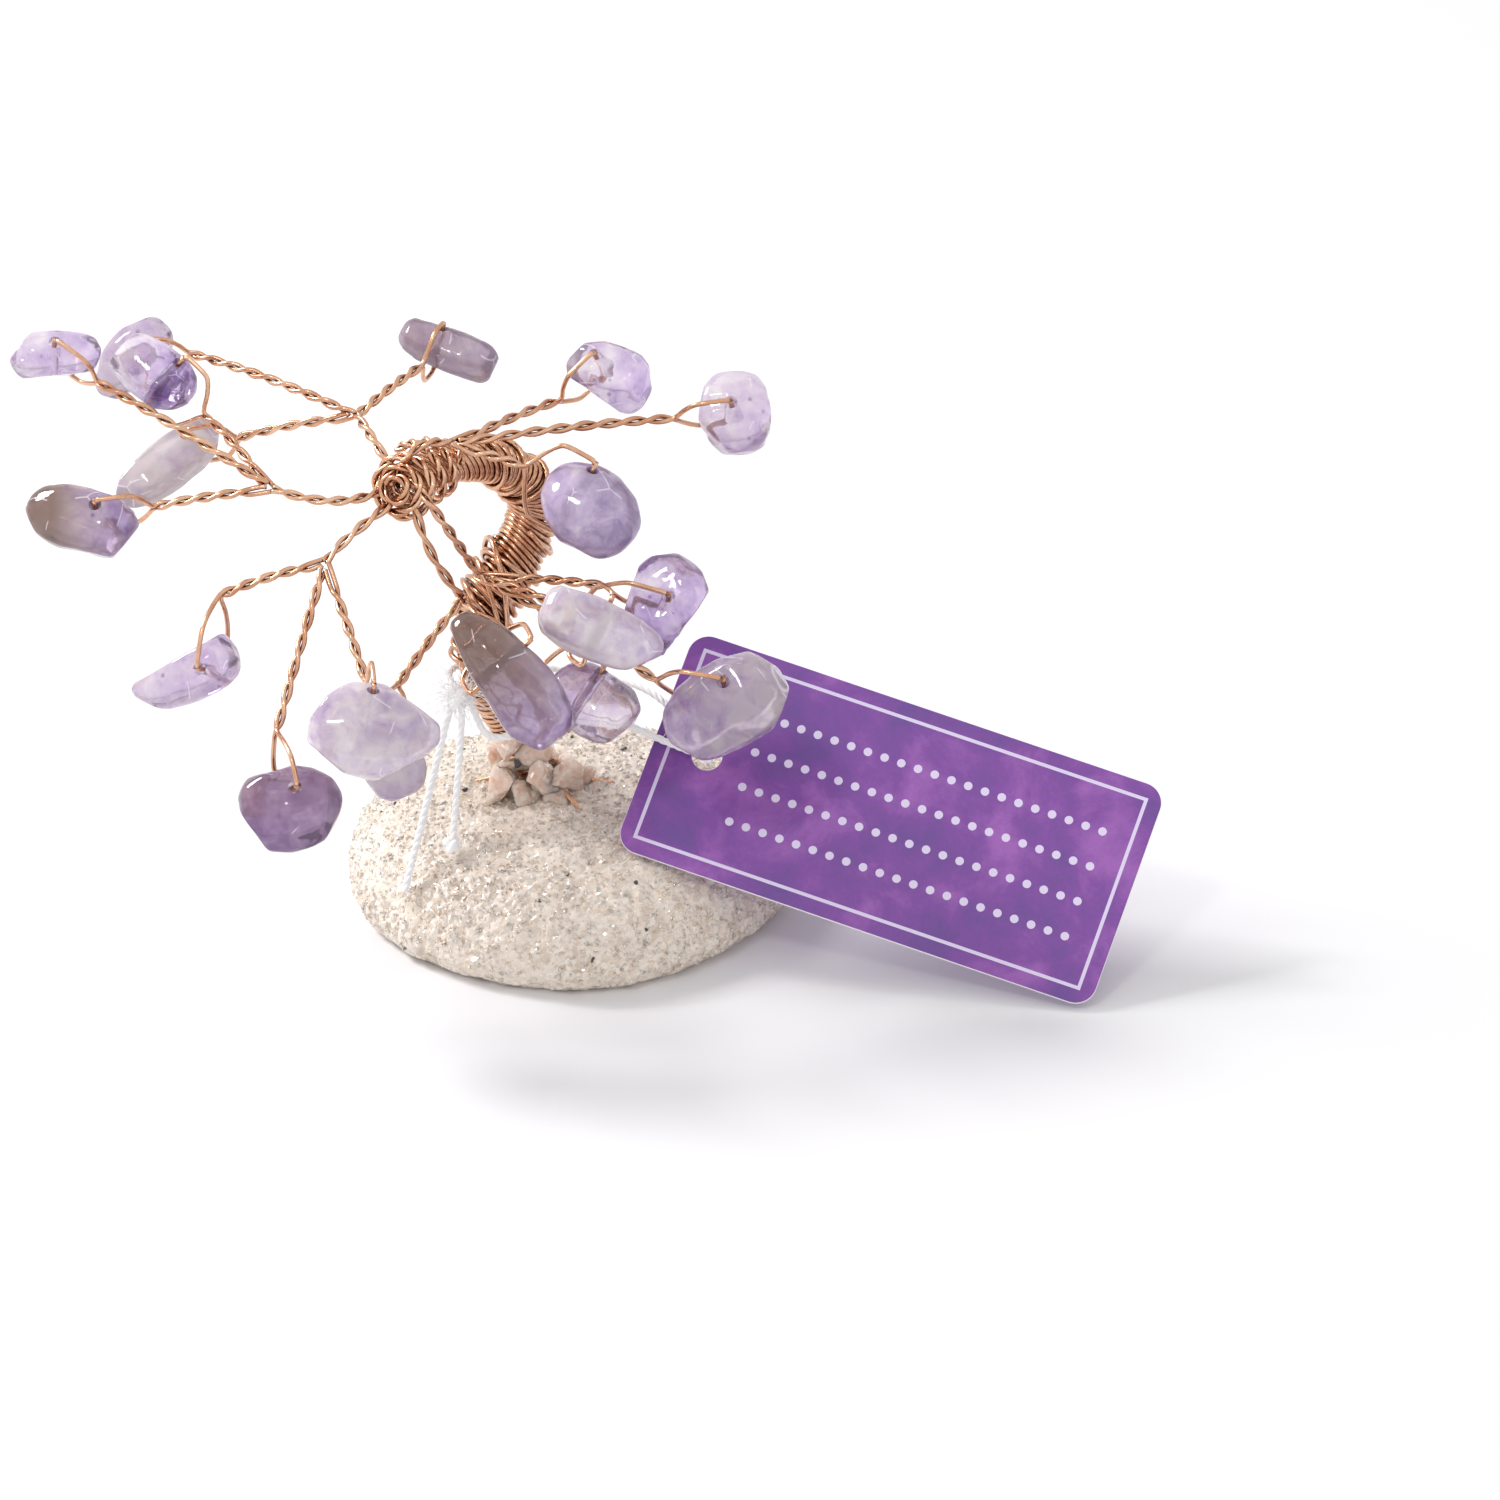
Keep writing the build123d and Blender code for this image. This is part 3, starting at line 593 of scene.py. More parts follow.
def print_material(settings, reach, hole):
    """Offset print on coated card: mottled purple inks, a thin pale frame line and rows of dots."""
    material, tree, shader, place = started("card_offset_print", "UV")
    # Mottling 6 mm wide, and the press's halftone grain drawn at 0.3 mm so that it shows
    wide = add(tree, "TexNoise", {"Scale": 1 / 6.0, "Detail": 5.0, "Roughness": 0.6, "Distortion": 0.3,
                                  "Vector": place})
    fine = add(tree, "TexNoise", {"Scale": 1 / 0.3, "Detail": 2.0, "Vector": place})
    ink = ramp(tree, wide, (0.36, settings.violet), (0.50, settings.purple), (0.66, settings.lilac))
    ink = mixed(tree, 0.2, ink, fine.outputs["Color"], "OVERLAY")
    # The frame line lies where the place is just as far inside the edge as its inset
    line = add(tree, "Math", {"operation": "ADD", 0: past_edge(tree, place, reach), 1: FRAME_INSET})
    from_line = add(tree, "Math", {"operation": "ABSOLUTE", 0: line})
    framed = add(tree, "Math", {"operation": "LESS_THAN", 0: from_line, 1: FRAME_LINE / 2})
    # A dot lies in the middle of each cell that keeps its distance from the edge and the hole
    corner = add(tree, "VectorMath", {"operation": "SNAP", 0: place, 1: (*DOT_SPACING, 1.0)})
    centre = add(tree, "VectorMath", {"operation": "ADD", 0: corner,
                                      1: [size / 2 for size in DOT_SPACING] + [0.0]})
    from_dot = add(tree, "VectorMath", {"operation": "DISTANCE", 0: place, 1: centre})
    dots = add(tree, "Math", {"operation": "LESS_THAN", 0: from_dot.outputs["Value"], 1: DOT_RADIUS})
    inside = add(tree, "Math", {"operation": "LESS_THAN", 0: past_edge(tree, centre, reach),
                                1: -DOT_MARGIN})
    past_hole = add(tree, "Math", {"operation": "GREATER_THAN", 0: add(tree, "SeparateXYZ", {0: centre}),
                                   1: hole + DOT_MARGIN})
    for limit in (inside, past_hole):
        dots = add(tree, "Math", {"operation": "MULTIPLY", 0: dots, 1: limit})
    marks = add(tree, "Math", {"operation": "MAXIMUM", 0: framed, 1: dots}).outputs[0]
    fill(tree, shader, {
        "Base Color": mixed(tree, marks, ink, settings.pale),
        "Roughness": ramp(tree, fine, (0.3, 0.42), (0.7, 0.55)),
    })
    return material


def paper_material(name, colour, size, shine):
    """Bleached fibres, pressed or spun: matt white with a soft fibrous mottle."""
    material, tree, shader, place = started(name)
    fibres = add(tree, "TexNoise", {"Scale": 1 / (size * MM), "Detail": 4.0, "Roughness": 0.7,
                                    "Vector": place})
    duller = tuple(0.93 * value for value in colour[:3]) + (1.0,)
    fill(tree, shader, {
        "Base Color": ramp(tree, fibres, (0.3, duller), (0.6, tuple(colour))),
        "Roughness": 0.9,
        "Normal": add(tree, "Bump", {"Strength": 0.4, "Distance": 0.05 * MM, "Height": fibres}),
        "Sheen Weight": shine,
    })
    return material


# Stage

# The photograph's camera: pixels, and lengths in mm
PHOTO_WIDTH = 1500
PIXELS_PER_MM = 12.5
CAMERA_DISTANCE = 560.0
CAMERA_RISE = 28.0
LOOK_AT = (14.4, 0.0, 12.232)
SENSOR = 36.0
# Each lamp's direction from the tree's middle, its distance and width in metres, and its watts
LAMPS = {
    "lamp_key": ((-1.24, 0.45, 1.15), 0.62, 0.20, 3.3),
    "lamp_fill": ((0.9, -1.0, 0.9), 0.75, 0.30, 0.15),
    "lamp_glint": ((-0.5, -0.9, 1.3), 0.60, 0.07, 0.35),
}
# Strength of the white surroundings where they light the tree, and where they are seen
GLOW = 0.77
GLOW_SEEN = 1.0
# The paper floor's colour, and half its width in metres
FLOOR_COLOUR = "#E5E4E6"
FLOOR_HALF = 3.0


def place_camera():
    """The camera at the photograph's angle, with its perspective."""
    data = bpy.data.cameras.new("camera_photo")
    data.sensor_width = SENSOR
    data.lens = SENSOR * PIXELS_PER_MM * CAMERA_DISTANCE / PHOTO_WIDTH
    data.clip_start = 0.01
    data.clip_end = 20.0
    rise = math.radians(CAMERA_RISE)
    back = Vector((0.0, -math.cos(rise), math.sin(rise)))
    camera = linked("camera_photo", data)
    camera.location = (Vector(LOOK_AT) + back * CAMERA_DISTANCE) * MM
    camera.rotation_euler = (-back).to_track_quat("-Z", "Y").to_euler()
    bpy.context.scene.camera = camera


def place_lamp(name, direction, distance, size, watts):
    """A round soft lamp that shines on the tree's middle from a direction."""
    data = bpy.data.lights.new(name, "AREA")
    data.shape = "DISK"
    data.size = size
    data.energy = watts
    lamp = linked(name, data)
    aim = Vector(direction).normalized()
    lamp.location = Vector(LOOK_AT) * MM + aim * distance
    lamp.rotation_euler = (-aim).to_track_quat("-Z", "Y").to_euler()


def seen_share(tree):
    """One for rays that see the backdrop itself, straight or through gloss and glass."""
    path = add(tree, "LightPath")
    share = path.outputs["Is Camera Ray"]
    for ray in ("Is Glossy Ray", "Is Transmission Ray"):
        share = add(tree, "Math", {"operation": "MAXIMUM", 0: share, 1: path.outputs[ray]})
    return share


class GEM_OT_stage(bpy.types.Operator):
    """Makes the camera, the pale floor, the backdrop and the soft lamps"""
    bl_idname = "gem.stage"
    bl_label = "Camera and stage"

    def execute(self, context):
        scene = context.scene
        scene.view_settings.view_transform = "Standard"
        place_camera()
        for name, lamp in LAMPS.items():
            place_lamp(name, *lamp)
        scene.world = bpy.data.worlds.new("world_pale")
        scene.world.use_nodes = True
        tree = scene.world.node_tree
        tree.nodes.clear()
        glow, seen = [add(tree, "Background", {"Color": grey(1.0), "Strength": strength})
                      for strength in (GLOW, GLOW_SEEN)]
        both = add(tree, "MixShader", {0: seen_share(tree), 1: glow, 2: seen})
        add(tree, "OutputWorld", {"Surface": both})
        material, tree, shader, _ = started("paper_backdrop_matt")
        fill(tree, shader, {"Base Color": linear(FLOOR_COLOUR), "Roughness": 0.9})
        corners = [(x * FLOOR_HALF, y * FLOOR_HALF, 0) for x, y in ((-1, -1), (1, -1), (1, 1), (-1, 1))]
        mesh = mesh_of("floor", corners, [(0, 1, 2, 3)])
        mesh.materials.append(material)
        floor = linked("floor", mesh)
        return {"FINISHED"}


# Wires

SPRAYS = ("back", "rear_right", "left", "front_left", "right", "front")
# Points in each turn of a winding or of a twisted pair
TURN_STEPS = 20
# The winding's radius in mm at shares of the trunk's length, and the share where it starts
COIL_SHARES = (0.0, 0.20, 0.36, 0.47, 0.58, 0.66, 0.74, 0.83, 0.93, 1.0)
COIL_RADII = (1.10, 1.10, 1.30, 1.75, 2.00, 1.85, 1.65, 1.50, 1.30, 1.20)
COIL_START = 0.10
COIL_PHASE = 0.2
# How far the turns' radius wavers, in mm, and how fast, and the same for their lean as a share of it
RADIUS_WAVER = 0.05
RADIUS_RATE = 0.37
LEAN_WAVER = 0.25
LEAN_RATE = 9.0
# Start and end along the trunk, height above the winding in mm, pitch in mm, first angle and lean
STRAYS = ((0.39, 0.56, 0.40, 1.05, 0.4, 1.2), (0.40, 0.53, 0.75, 1.30, 2.6, 1.5),
          (0.43, 0.58, 0.55, 2.10, 4.4, 0.3), (0.38, 0.50, 0.62, 1.60, 1.2, 0.9),
          (0.63, 0.84, 0.40, 2.10, 3.0, 0.9))
# Direction towards which the turns rise
SLANT = (-1.0, 0.0, 1.0)
# Pitch of the crown's twisted pair, in mm
TWIST = 2.6
# How far the roots' outer ends dip into the grit, in mm
ROOT_SINK = 0.7
# The trunk's bundle: step along it in mm, its twist, and each ring's radius in mm and number of wires
CORE_STEP = 0.25
BUNDLE_TWIST = 3.0
BUNDLE_RINGS = ((0.0, 1), (0.44, 6), (0.88, 12))
# The crown's rose: the way it faces, its turns, points and twisted pair's pitch, its middle from the
# trunk's end, and how far each arm falls back from the eye, in mm
ROSE_FACING = (-0.45, -0.80, 0.40)
ROSE_TURNS = 2.5
ROSE_POINTS = 120
ROSE_TWIST = 3.4
ROSE_SHIFT = (0.0, 0.0, -0.7)
ROSE_FALL = 1.2
# Each layer of the rose: starting angle, first and last radius and height towards the eye, in mm
ROSE_LAYERS = ((0.0, 0.55, 2.65, 2.0), (2.6, 0.10, 2.5, 1.0))


def wire_piece(name, lines, diameter, copper, nodes, every=1):
    """A piece of round wires along every first, second or later point of the lines, for the given nodes."""
    sides = bpy.context.scene.gem_wire.sides
    points, faces = tubes([line[::every] for line in lines], [diameter / 2] * len(lines), sides)
    wires = piece(name, points, faces, "tree", [copper], nodes)
    mark_openness_for_shade(wires, lines, diameter / 2)


class GEM_OT_sprays(bpy.types.Operator):
    """Makes the six sprays of twisted wire from the frame's own centre lines"""
    bl_idname = "gem.sprays"
    bl_label = "Twisted sprays"

    def execute(self, context):
        wire = context.scene.gem_wire
        copper = copper_material(wire)
        for name in SPRAYS:
            lines = [rounded_line(line, 3) for line in centre_lines("spray_" + name)]
            wire_piece("wire_" + name, lines, wire.diameter, copper, ["spray_" + name])
        roots = [rounded_line(line, 4) for line in centre_lines("root_wires")]
        for line in roots:
            dip = np.linspace(0, ROOT_SINK * MM, len(line))
            line[:, 2] -= dip if line[0, 2] > line[-1, 2] else dip[::-1]
        wire_piece("wire_roots", roots, wire.diameter, copper, ["root_wires"])
        return {"FINISHED"}


def coil(core, start, end, height, pitch, phase, lean):
    """A winding round the core line between two shares of it, at a height above the trunk's winding."""
    run = run_along(core)
    turns = (end - start) * run[-1] / pitch
    count = int(turns * TURN_STEPS)
    shares = np.linspace(start, end, count)
    middle, ahead, side, up = [read_off(rows, run, shares * run[-1])
                               for rows in (core, *carried_frames(core))]
    angle = phase + np.linspace(0, turns, count) * 2 * math.pi
    radius = np.interp(shares, COIL_SHARES, COIL_RADII) * MM + height
    radius = radius + RADIUS_WAVER * MM * np.sin(angle * RADIUS_RATE + phase)
    offset = about(side, up, angle) * radius[:, None]
    waver = 1 - LEAN_WAVER + LEAN_WAVER * np.sin(LEAN_RATE * shares + phase)
    slant = (offset @ unit(SLANT)) * lean * waver
    return middle + offset + ahead * slant[:, None]


def twisted(line, pitch, diameter):
    """The two wires of a twisted pair about a line."""
    line = even_line(line, pitch / TURN_STEPS)
    _, side, up = carried_frames(line)
    offset = about(side, up, np.arange(len(line)) * 2 * math.pi / TURN_STEPS) * diameter / 2
    return [line + offset, line - offset]


class GEM_OT_trunk(bpy.types.Operator):
    """Winds the trunk closely with wire, with a bundle of straight wires inside"""
    bl_idname = "gem.trunk"
    bl_label = "Wound trunk"

    def execute(self, context):
        wire = context.scene.gem_wire
        copper = bpy.data.materials["copper_drawn_lacquered"]
        core = even_line(rounded_line(centre_lines("trunk_core")[0], 8), CORE_STEP * MM)
        lines = [coil(core, COIL_START, 1.0, 0.0, wire.coil_pitch, COIL_PHASE, wire.coil_lean)]
        for start, end, height, pitch, phase, lean in STRAYS:
            lines.append(coil(core, start, end, height * MM, pitch * MM, phase, lean))
        wire_piece("wire_trunk_winding", lines, wire.coil_wire, copper, ["winding_lower", "winding_upper"])
        _, side, up = carried_frames(core)
        twist = np.linspace(0, BUNDLE_TWIST, len(core))
        lines = [core + about(side, up, 2 * math.pi * i / count + twist) * radius * MM
                 for radius, count in BUNDLE_RINGS for i in range(count)]
        wire_piece("wire_trunk_bundle", lines, wire.diameter, copper, ["trunk_core"], 2)
        return {"FINISHED"}


class GEM_OT_crown(bpy.types.Operator):
    """Makes the rosette of twisted wire that binds the bundle where the sprays leave"""
    bl_idname = "gem.crown"
    bl_label = "Crown rosette"

    def execute(self, context):
        wire = context.scene.gem_wire
        copper = bpy.data.materials["copper_drawn_lacquered"]
        wrap = rounded_line(centre_lines("crown_wrap")[0], 6)
        core = rounded_line(centre_lines("trunk_core")[0], 8)
        facing = unit(ROSE_FACING)
        across = unit(np.cross(facing, (0.0, 0.0, 1.0)))
        upward = np.cross(across, facing)
        turn = np.linspace(0, ROSE_TURNS * 2 * math.pi, ROSE_POINTS)
        share = (turn / turn[-1])[:, None]
        lines = twisted(wrap, TWIST * MM, wire.diameter)
        for start, first, last, height in ROSE_LAYERS:
            arm = about(across, upward, turn + start) * (first + (last - first) * share)
            painted_copper_glow = np.array(ROSE_SHIFT) + arm + facing * (height - ROSE_FALL * share)
            lines += twisted(core[-1] + painted_copper_glow * MM, ROSE_TWIST * MM, wire.diameter)
        wire_piece("wire_crown", lines, wire.diameter, copper, ["crown_wrap"])
        return {"FINISHED"}


# Stones

# Each chip's finish, how round it has been tumbled, its number of soft flats and their depth as a
# share of its reach, the direction in which its colour changes, and how violet and how smoky it is at
# the start and at the end of that direction
CHIPS = {
    "left_1": ("pale", 12, 4, 0.16, (1.0, 0.0, 0.2), 0.20, 0.48, 0.08, 0.03),
    "left_2": ("deep", 18, 4, 0.12, (0.8, 0.0, -0.6), 0.05, 0.92, 0.00, 0.00),
    "left_3": ("smoky", 24, 4, 0.16, (1.0, 0.0, 0.1), 0.12, 0.70, 1.20, 0.03),
    "back_1": ("pale", 16, 4, 0.14, (0.3, 0.0, 1.0), 0.30, 0.42, 0.34, 0.20),
    "back_2": ("milky", 8, 5, 0.16, (1.0, 0.0, 1.0), 0.02, 0.06, 0.48, 0.24),
    "back_3": ("smoky", 10, 2, 0.08, (1.0, 0.0, -0.3), 0.45, 0.40, 0.64, 0.42),
    "rear_right_1": ("pale", 10, 6, 0.22, (1.0, 0.0, -0.4), 0.14, 0.50, 0.04, 0.00),
    "rear_right_2": ("pale", 14, 5, 0.16, (0.3, 0.0, -1.0), 0.20, 0.40, 0.10, 0.14),
    "rear_right_3": ("milky", 50, 0, 0.00, (0.5, 0.0, -1.0), 0.60, 0.78, 0.12, 0.08),
    "front_left_1": ("pale", 18, 5, 0.16, (1.0, 0.0, 0.3), 0.30, 0.42, 0.16, 0.14),
    "front_left_2": ("deep", 16, 3, 0.14, (0.0, 0.0, 1.0), 1.05, 0.72, 0.30, 0.55),
    "front_left_3": ("milky", 20, 2, 0.14, (0.3, 0.0, 1.0), 0.16, 0.22, 0.13, 0.14),
    "right_1": ("deep", 10, 5, 0.20, (0.5, 0.0, -1.0), 0.30, 0.72, 0.00, 0.04),
    "right_2": ("milky", 12, 4, 0.16, (1.0, 0.0, -0.4), 0.06, 0.30, 0.18, 0.10),
    "right_3": ("smoky", 12, 6, 0.20, (1.0, 0.0, 0.3), 0.45, 0.12, 0.18, 0.30),
    "front_1": ("milky", 14, 4, 0.14, (0.0, 0.0, 1.0), 0.30, 0.26, 0.30, 0.30),
    "front_2": ("smoky", 30, 1, 0.06, (0.5, 0.0, -0.87), 0.30, 0.70, 1.15, 0.10),
    "front_3": ("deep", 14, 4, 0.18, (1.0, 0.0, 0.1), 0.48, 0.12, 0.00, 0.12),
}
# Each chip's outline as the photograph shows it, in mm to the right of and above its middle
OUTLINES = {
    "left_1": ((-1.7, 2.1), (3.6, 2.0), (3.8, 0.8), (2.9, -1.3), (-0.1, -1.6), (-3.3, -2.1), (-3.8, -0.6)),
    "left_2": ((-1.0, 2.9), (1.2, 3.0), (3.6, 1.8), (3.8, -3.0), (0.2, -3.0), (-3.2, -1.3), (-3.6, 0.3)),
    "left_3": ((-2.6, 3.0), (-0.9, 2.9), (3.6, 2.0), (4.7, -0.2), (2.5, -2.7), (0.4, -2.9), (-3.2, -1.6),
               (-4.7, 1.1), (-4.3, 2.5)),
    "back_1": ((-1.7, 1.4), (1.5, 2.7), (2.8, 2.3), (2.9, -0.4), (-1.0, -2.7), (-2.8, -2.3)),
    "back_2": ((-4.0, -2.7), (-3.4, -0.9), (-1.1, 1.6), (2.1, 3.3), (3.9, 3.2), (3.6, -0.2), (1.1, -2.3),
               (-2.7, -3.3)),
    "back_3": ((-3.6, 2.6), (-2.8, 2.6), (3.5, 0.5), (4.3, -0.5), (3.3, -2.5), (2.6, -2.6), (-3.8, -0.4),
               (-4.3, 0.7), (-4.1, 2.1)),
    "rear_right_1": ((-2.1, 2.8), (1.4, 3.0), (3.2, 2.1), (3.8, -1.7), (2.1, -3.0), (0.9, -2.6),
                     (-3.4, 0.1), (-3.7, 1.4)),
    "rear_right_2": ((-2.3, 2.2), (-1.1, 3.3), (2.1, 3.4), (3.1, 1.4), (3.1, -2.2), (1.7, -3.5),
                     (-1.9, -3.1), (-3.0, -1.4)),
    "rear_right_3": ((-4.1, 1.2), (-3.1, 3.5), (-1.3, 4.2), (1.9, 3.5), (3.9, 0.8), (4.1, -1.7),
                     (2.6, -4.0), (0.8, -4.3), (-2.8, -2.4), (-4.0, -0.3)),
    "front_left_1": ((-4.5, -1.1), (0.1, 1.4), (2.9, 3.0), (4.2, 1.8), (4.5, 0.0), (3.6, -1.8), (0.8, -2.7),
                     (-2.1, -3.0), (-4.0, -2.1)),
    "front_left_2": ((-4.3, 1.1), (-3.5, 2.6), (0.5, 3.8), (3.3, 3.4), (4.2, 2.2), (4.0, -0.1), (2.8, -2.7),
                     (0.2, -3.8), (-1.6, -3.6), (-2.9, -1.9), (-4.1, -0.1)),
    "front_left_3": ((-1.4, 3.9), (0.8, 3.8), (5.1, 0.4), (5.3, -0.9), (4.0, -2.0), (0.1, -3.9),
                     (-2.4, -3.3), (-5.1, -0.9), (-5.3, 0.5), (-3.5, 2.9)),
    "right_1": ((-3.5, -1.1), (-2.2, 3.0), (-0.3, 4.3), (1.2, 4.3), (2.9, 2.6), (3.5, 0.9), (-0.3, -4.5),
                (-2.2, -4.0)),
    "right_2": ((-5.0, 1.5), (-4.7, 3.0), (-3.4, 3.3), (-0.4, 2.4), (4.3, -0.2), (4.9, -1.0), (4.4, -3.0),
                (3.4, -3.3), (-2.1, -2.6), (-3.6, -2.1), (-4.7, -0.4)),
    "right_3": ((-5.3, -0.8), (-4.5, 1.6), (-1.3, 3.6), (2.7, 4.6), (4.7, 4.2), (5.3, 1.6), (3.5, -2.8),
                (1.5, -4.4), (-2.1, -4.2), (-4.6, -2.8)),
    "front_2": ((-5.1, 4.3), (-4.7, 5.1), (-3.7, 5.3), (-0.1, 3.6), (3.3, 0.4), (5.1, -2.0), (4.8, -4.3),
                (3.8, -5.3), (2.5, -5.2), (0.3, -4.1), (-3.3, 1.0)),
    "front_3": ((-3.5, 2.1), (-2.1, 2.9), (0.0, 2.9), (3.0, 0.8), (3.5, -0.5), (2.8, -1.6), (1.1, -2.8),
                (-0.4, -3.0), (-1.9, -2.2), (-2.6, -0.5)),
}
# How far the cuts of a stone's flats and outline pull its skin, as shares, and how far it fills its hull
FLAT_PULL = 0.95
OUTLINE_PULL = 0.97
HULL_FILL = 0.992
# Soft lumps of a worn stone, as shares of its reach, the small ones' height as a share of the large
# ones', and how far all are sunk
LUMP = 0.45
SMALL_LUMP = 0.12
SMALL_LUMP_HEIGHT = 0.1
LUMP_SINK = 0.4
BORE_SIDES = 20
# Edges steeper than this stay sharp, in degrees
SHARP_EDGE = 50
# Each finish of the tumbled chips: milkiness, share of light let through, roughness and chance of flakes
FINISHES = {"pale": (0.16, 0.90, 0.03, 0.22), "deep": (0.10, 0.85, 0.03, 0.12),
            "milky": (0.30, 0.50, 0.05, 0.0), "smoky": (0.18, 0.62, 0.04, 0.05)}


def tint(mesh, direction, violet, smoke):
    """Writes a stone's colour zones to its mesh, from start to end of a direction."""
    reach = corners_of(mesh) @ unit(direction)
    share = (reach - reach.min()) / max(np.ptp(reach), 1e-9)
    share = share * share * (3 - 2 * share)
    for name, (first, last) in (("zone", violet), ("smoke", smoke)):
        mark(mesh, name, first + (last - first) * share)


def outlined(points, hull, outline):
    """A stone's corners pulled inside an outline drawn as the camera sees it, fitted to the hull's size."""
    rise = math.radians(CAMERA_RISE)
    screen = np.array([(1.0, 0.0, 0.0), (0.0, math.sin(rise), math.cos(rise))])
    flat = hull @ screen.T
    drawn = np.array(outline)
    drawn = (drawn - middle_of(drawn)) / np.ptp(drawn, axis=0) * np.ptp(flat, axis=0) + middle_of(flat)
    for here, there in zip(drawn, np.roll(drawn, -1, axis=0)):
        out = unit((here[1] - there[1], there[0] - here[0]))
        out = out * np.sign(float((here - drawn.mean(axis=0)) @ out))
        over = np.maximum((points @ screen.T - here) @ out, 0)
        points = points - (out @ screen) * (over * OUTLINE_PULL)[:, None]
    return points


def tumbled(name, points, grain, relax, flats, depth, seed, outline=()):
    """A stone's skin: an even mesh over the hull of the points, with soft flats broken off it, relaxed
    until its edges are round and then brought back to the hull's own size."""
    thing = linked(name, mesh_from(name, hull_of(points)))
    hull = corners_of(thing.data)
    mesh = evened(thing, grain)
    co = corners_of(mesh)
    middle = co.mean(axis=0)
    draw = np.random.default_rng(seed)
    for _ in range(flats):
        direction = unit(draw.normal(size=3))
        reach = (co - middle) @ direction
        over = np.maximum(reach - reach.max() * (1 - depth * (0.4 + 0.6 * draw.random())), 0)
        co = co - direction * (over * FLAT_PULL)[:, None]
    if outline:
        co = outlined(co, hull, outline)
    moved(mesh, co)
    soften = thing.modifiers.new("round", "SMOOTH")
    soften.factor = 0.5
    soften.iterations = relax
    mesh = baked(thing)
    _, _, axes = np.linalg.svd(hull - hull.mean(axis=0), full_matrices=False)
    was, now = hull @ axes.T, corners_of(mesh) @ axes.T
    grown = np.ptp(was, axis=0) / np.ptp(now, axis=0) * HULL_FILL
    moved(mesh, (middle_of(was) + (now - middle_of(now)) * grown) @ axes)
    return thing


def worn(thing, size, wear, seed):
    """Gives a stone soft lumps, inside the hull that it had."""
    mesh = thing.data
    points = corners_of(mesh)
    lumps = np.array([fbm(p, size * LUMP, seed, 2)
                      + SMALL_LUMP_HEIGHT * fbm(p, size * SMALL_LUMP, seed + 5, 2) for p in points])
    moved(mesh, points + corners_of(mesh, "normal") * (wear * (lumps - LUMP_SINK))[:, None])


def drilled(thing, centre, direction, diameter, reach):
    """Cuts a round bore through a stone, along its hinge's axis."""
    points, faces = tube_mesh([centre - direction * reach, centre, centre + direction * reach],
                              diameter / 2, BORE_SIDES)
    cutter = linked("bore_tool", mesh_of("bore_tool", points, faces))
    cut = thing.modifiers.new("bore", "BOOLEAN")
    cut.operation = "DIFFERENCE"
    cut.solver = "EXACT"
    cut.object = cutter
    bpy.context.view_layer.update()
    baked(thing)
    bpy.data.objects.remove(cutter)


class GEM_OT_chips(bpy.types.Operator):
    """Makes the eighteen tumbled chips, each drilled along its own hinge"""
    bl_idname = "gem.chips"
    bl_label = "Tumbled chips"

    def execute(self, context):
        stone = context.scene.gem_stone
        finishes = {kind: stone_material("amethyst_tumbled_" + kind, stone, *row)
                    for kind, row in FINISHES.items()}
        hinges = {joint["child"]: joint for joint in frame["joints"]}
        for seed, (name, (kind, relax, flats, depth, heading, *tones)) in enumerate(CHIPS.items(), 1):
            body = "chip_" + name
            points, _ = welded(body)
            reach = max(np.ptp(points, axis=0))
            thing = tumbled("stone_" + name, points, stone.grain, relax, flats, depth, seed,
                            OUTLINES.get(name, ()))
            worn(thing, reach, stone.wear, seed)
            drilled(thing, np.array(hinges[body]["pos_m"], float), unit(hinges[body]["axis"]),
                    stone.bore, reach)
            tint(thing.data, heading, tones[:2], tones[2:])
            thing.data.materials.clear()
            settle(thing, body, [finishes[kind]], [body])
            thing.data.set_sharp_from_angle(angle=math.radians(SHARP_EDGE))
        return {"FINISHED"}


# Mound

# The resin body's rough skin, in mm: its height, the width of its steps and lumps, and how far up from the
# ground it grows to its full height
ROUGH_HEIGHT = 0.14
ROUGH_STEP = 0.6
ROUGH_LUMP = 3.0
ROUGH_RISE = 0.8
# How far the steps are sunk and how high the lumps are, as shares of that height
ROUGH_SINK = 0.7
ROUGH_SWELL = 0.5
# Grains stand in faces at least this high, in mm, that lean outwards no further than this normal's rise
GRAIN_LOWEST = 0.35
GRAIN_TILT = -0.35
# Grains' least size and how much more they may have, as shares of the middle size, how deep they are sunk
# as a share of their own, and how far they stay off the ground, in mm
GRAIN_LEAST = 0.55
GRAIN_MORE = 0.75
GRAIN_SINK = 0.2
GRAIN_OFF = 0.02
GRAIN_SHAPES = 14
GRAIN_SEED = 21
# Shares of cream, milky, beige and clear grains, and how much larger the black ones are
GRAIN_KINDS = (0.34, 0.30, 0.08, 0.28)
SPECK_SIZE = 1.5


def grain_shape(draw):
    """A broken grain: the hull of a few random points on a lopsided ball, about 1 across."""
    stretch = 0.6 + 0.4 * draw.random(3)
    bm = hull_of(unit(draw.normal(size=(9, 3))) * stretch * 0.5)
    bm.verts.index_update()
    points = np.array([v.co for v in bm.verts])
    faces = [[v.index for v in f.verts] for f in bm.faces]
    bm.free()
    return points, faces


def turned(draw):
    """A random rotation matrix."""
    matrix, _ = np.linalg.qr(draw.normal(size=(3, 3)))
    return matrix * np.sign(np.linalg.det(matrix))


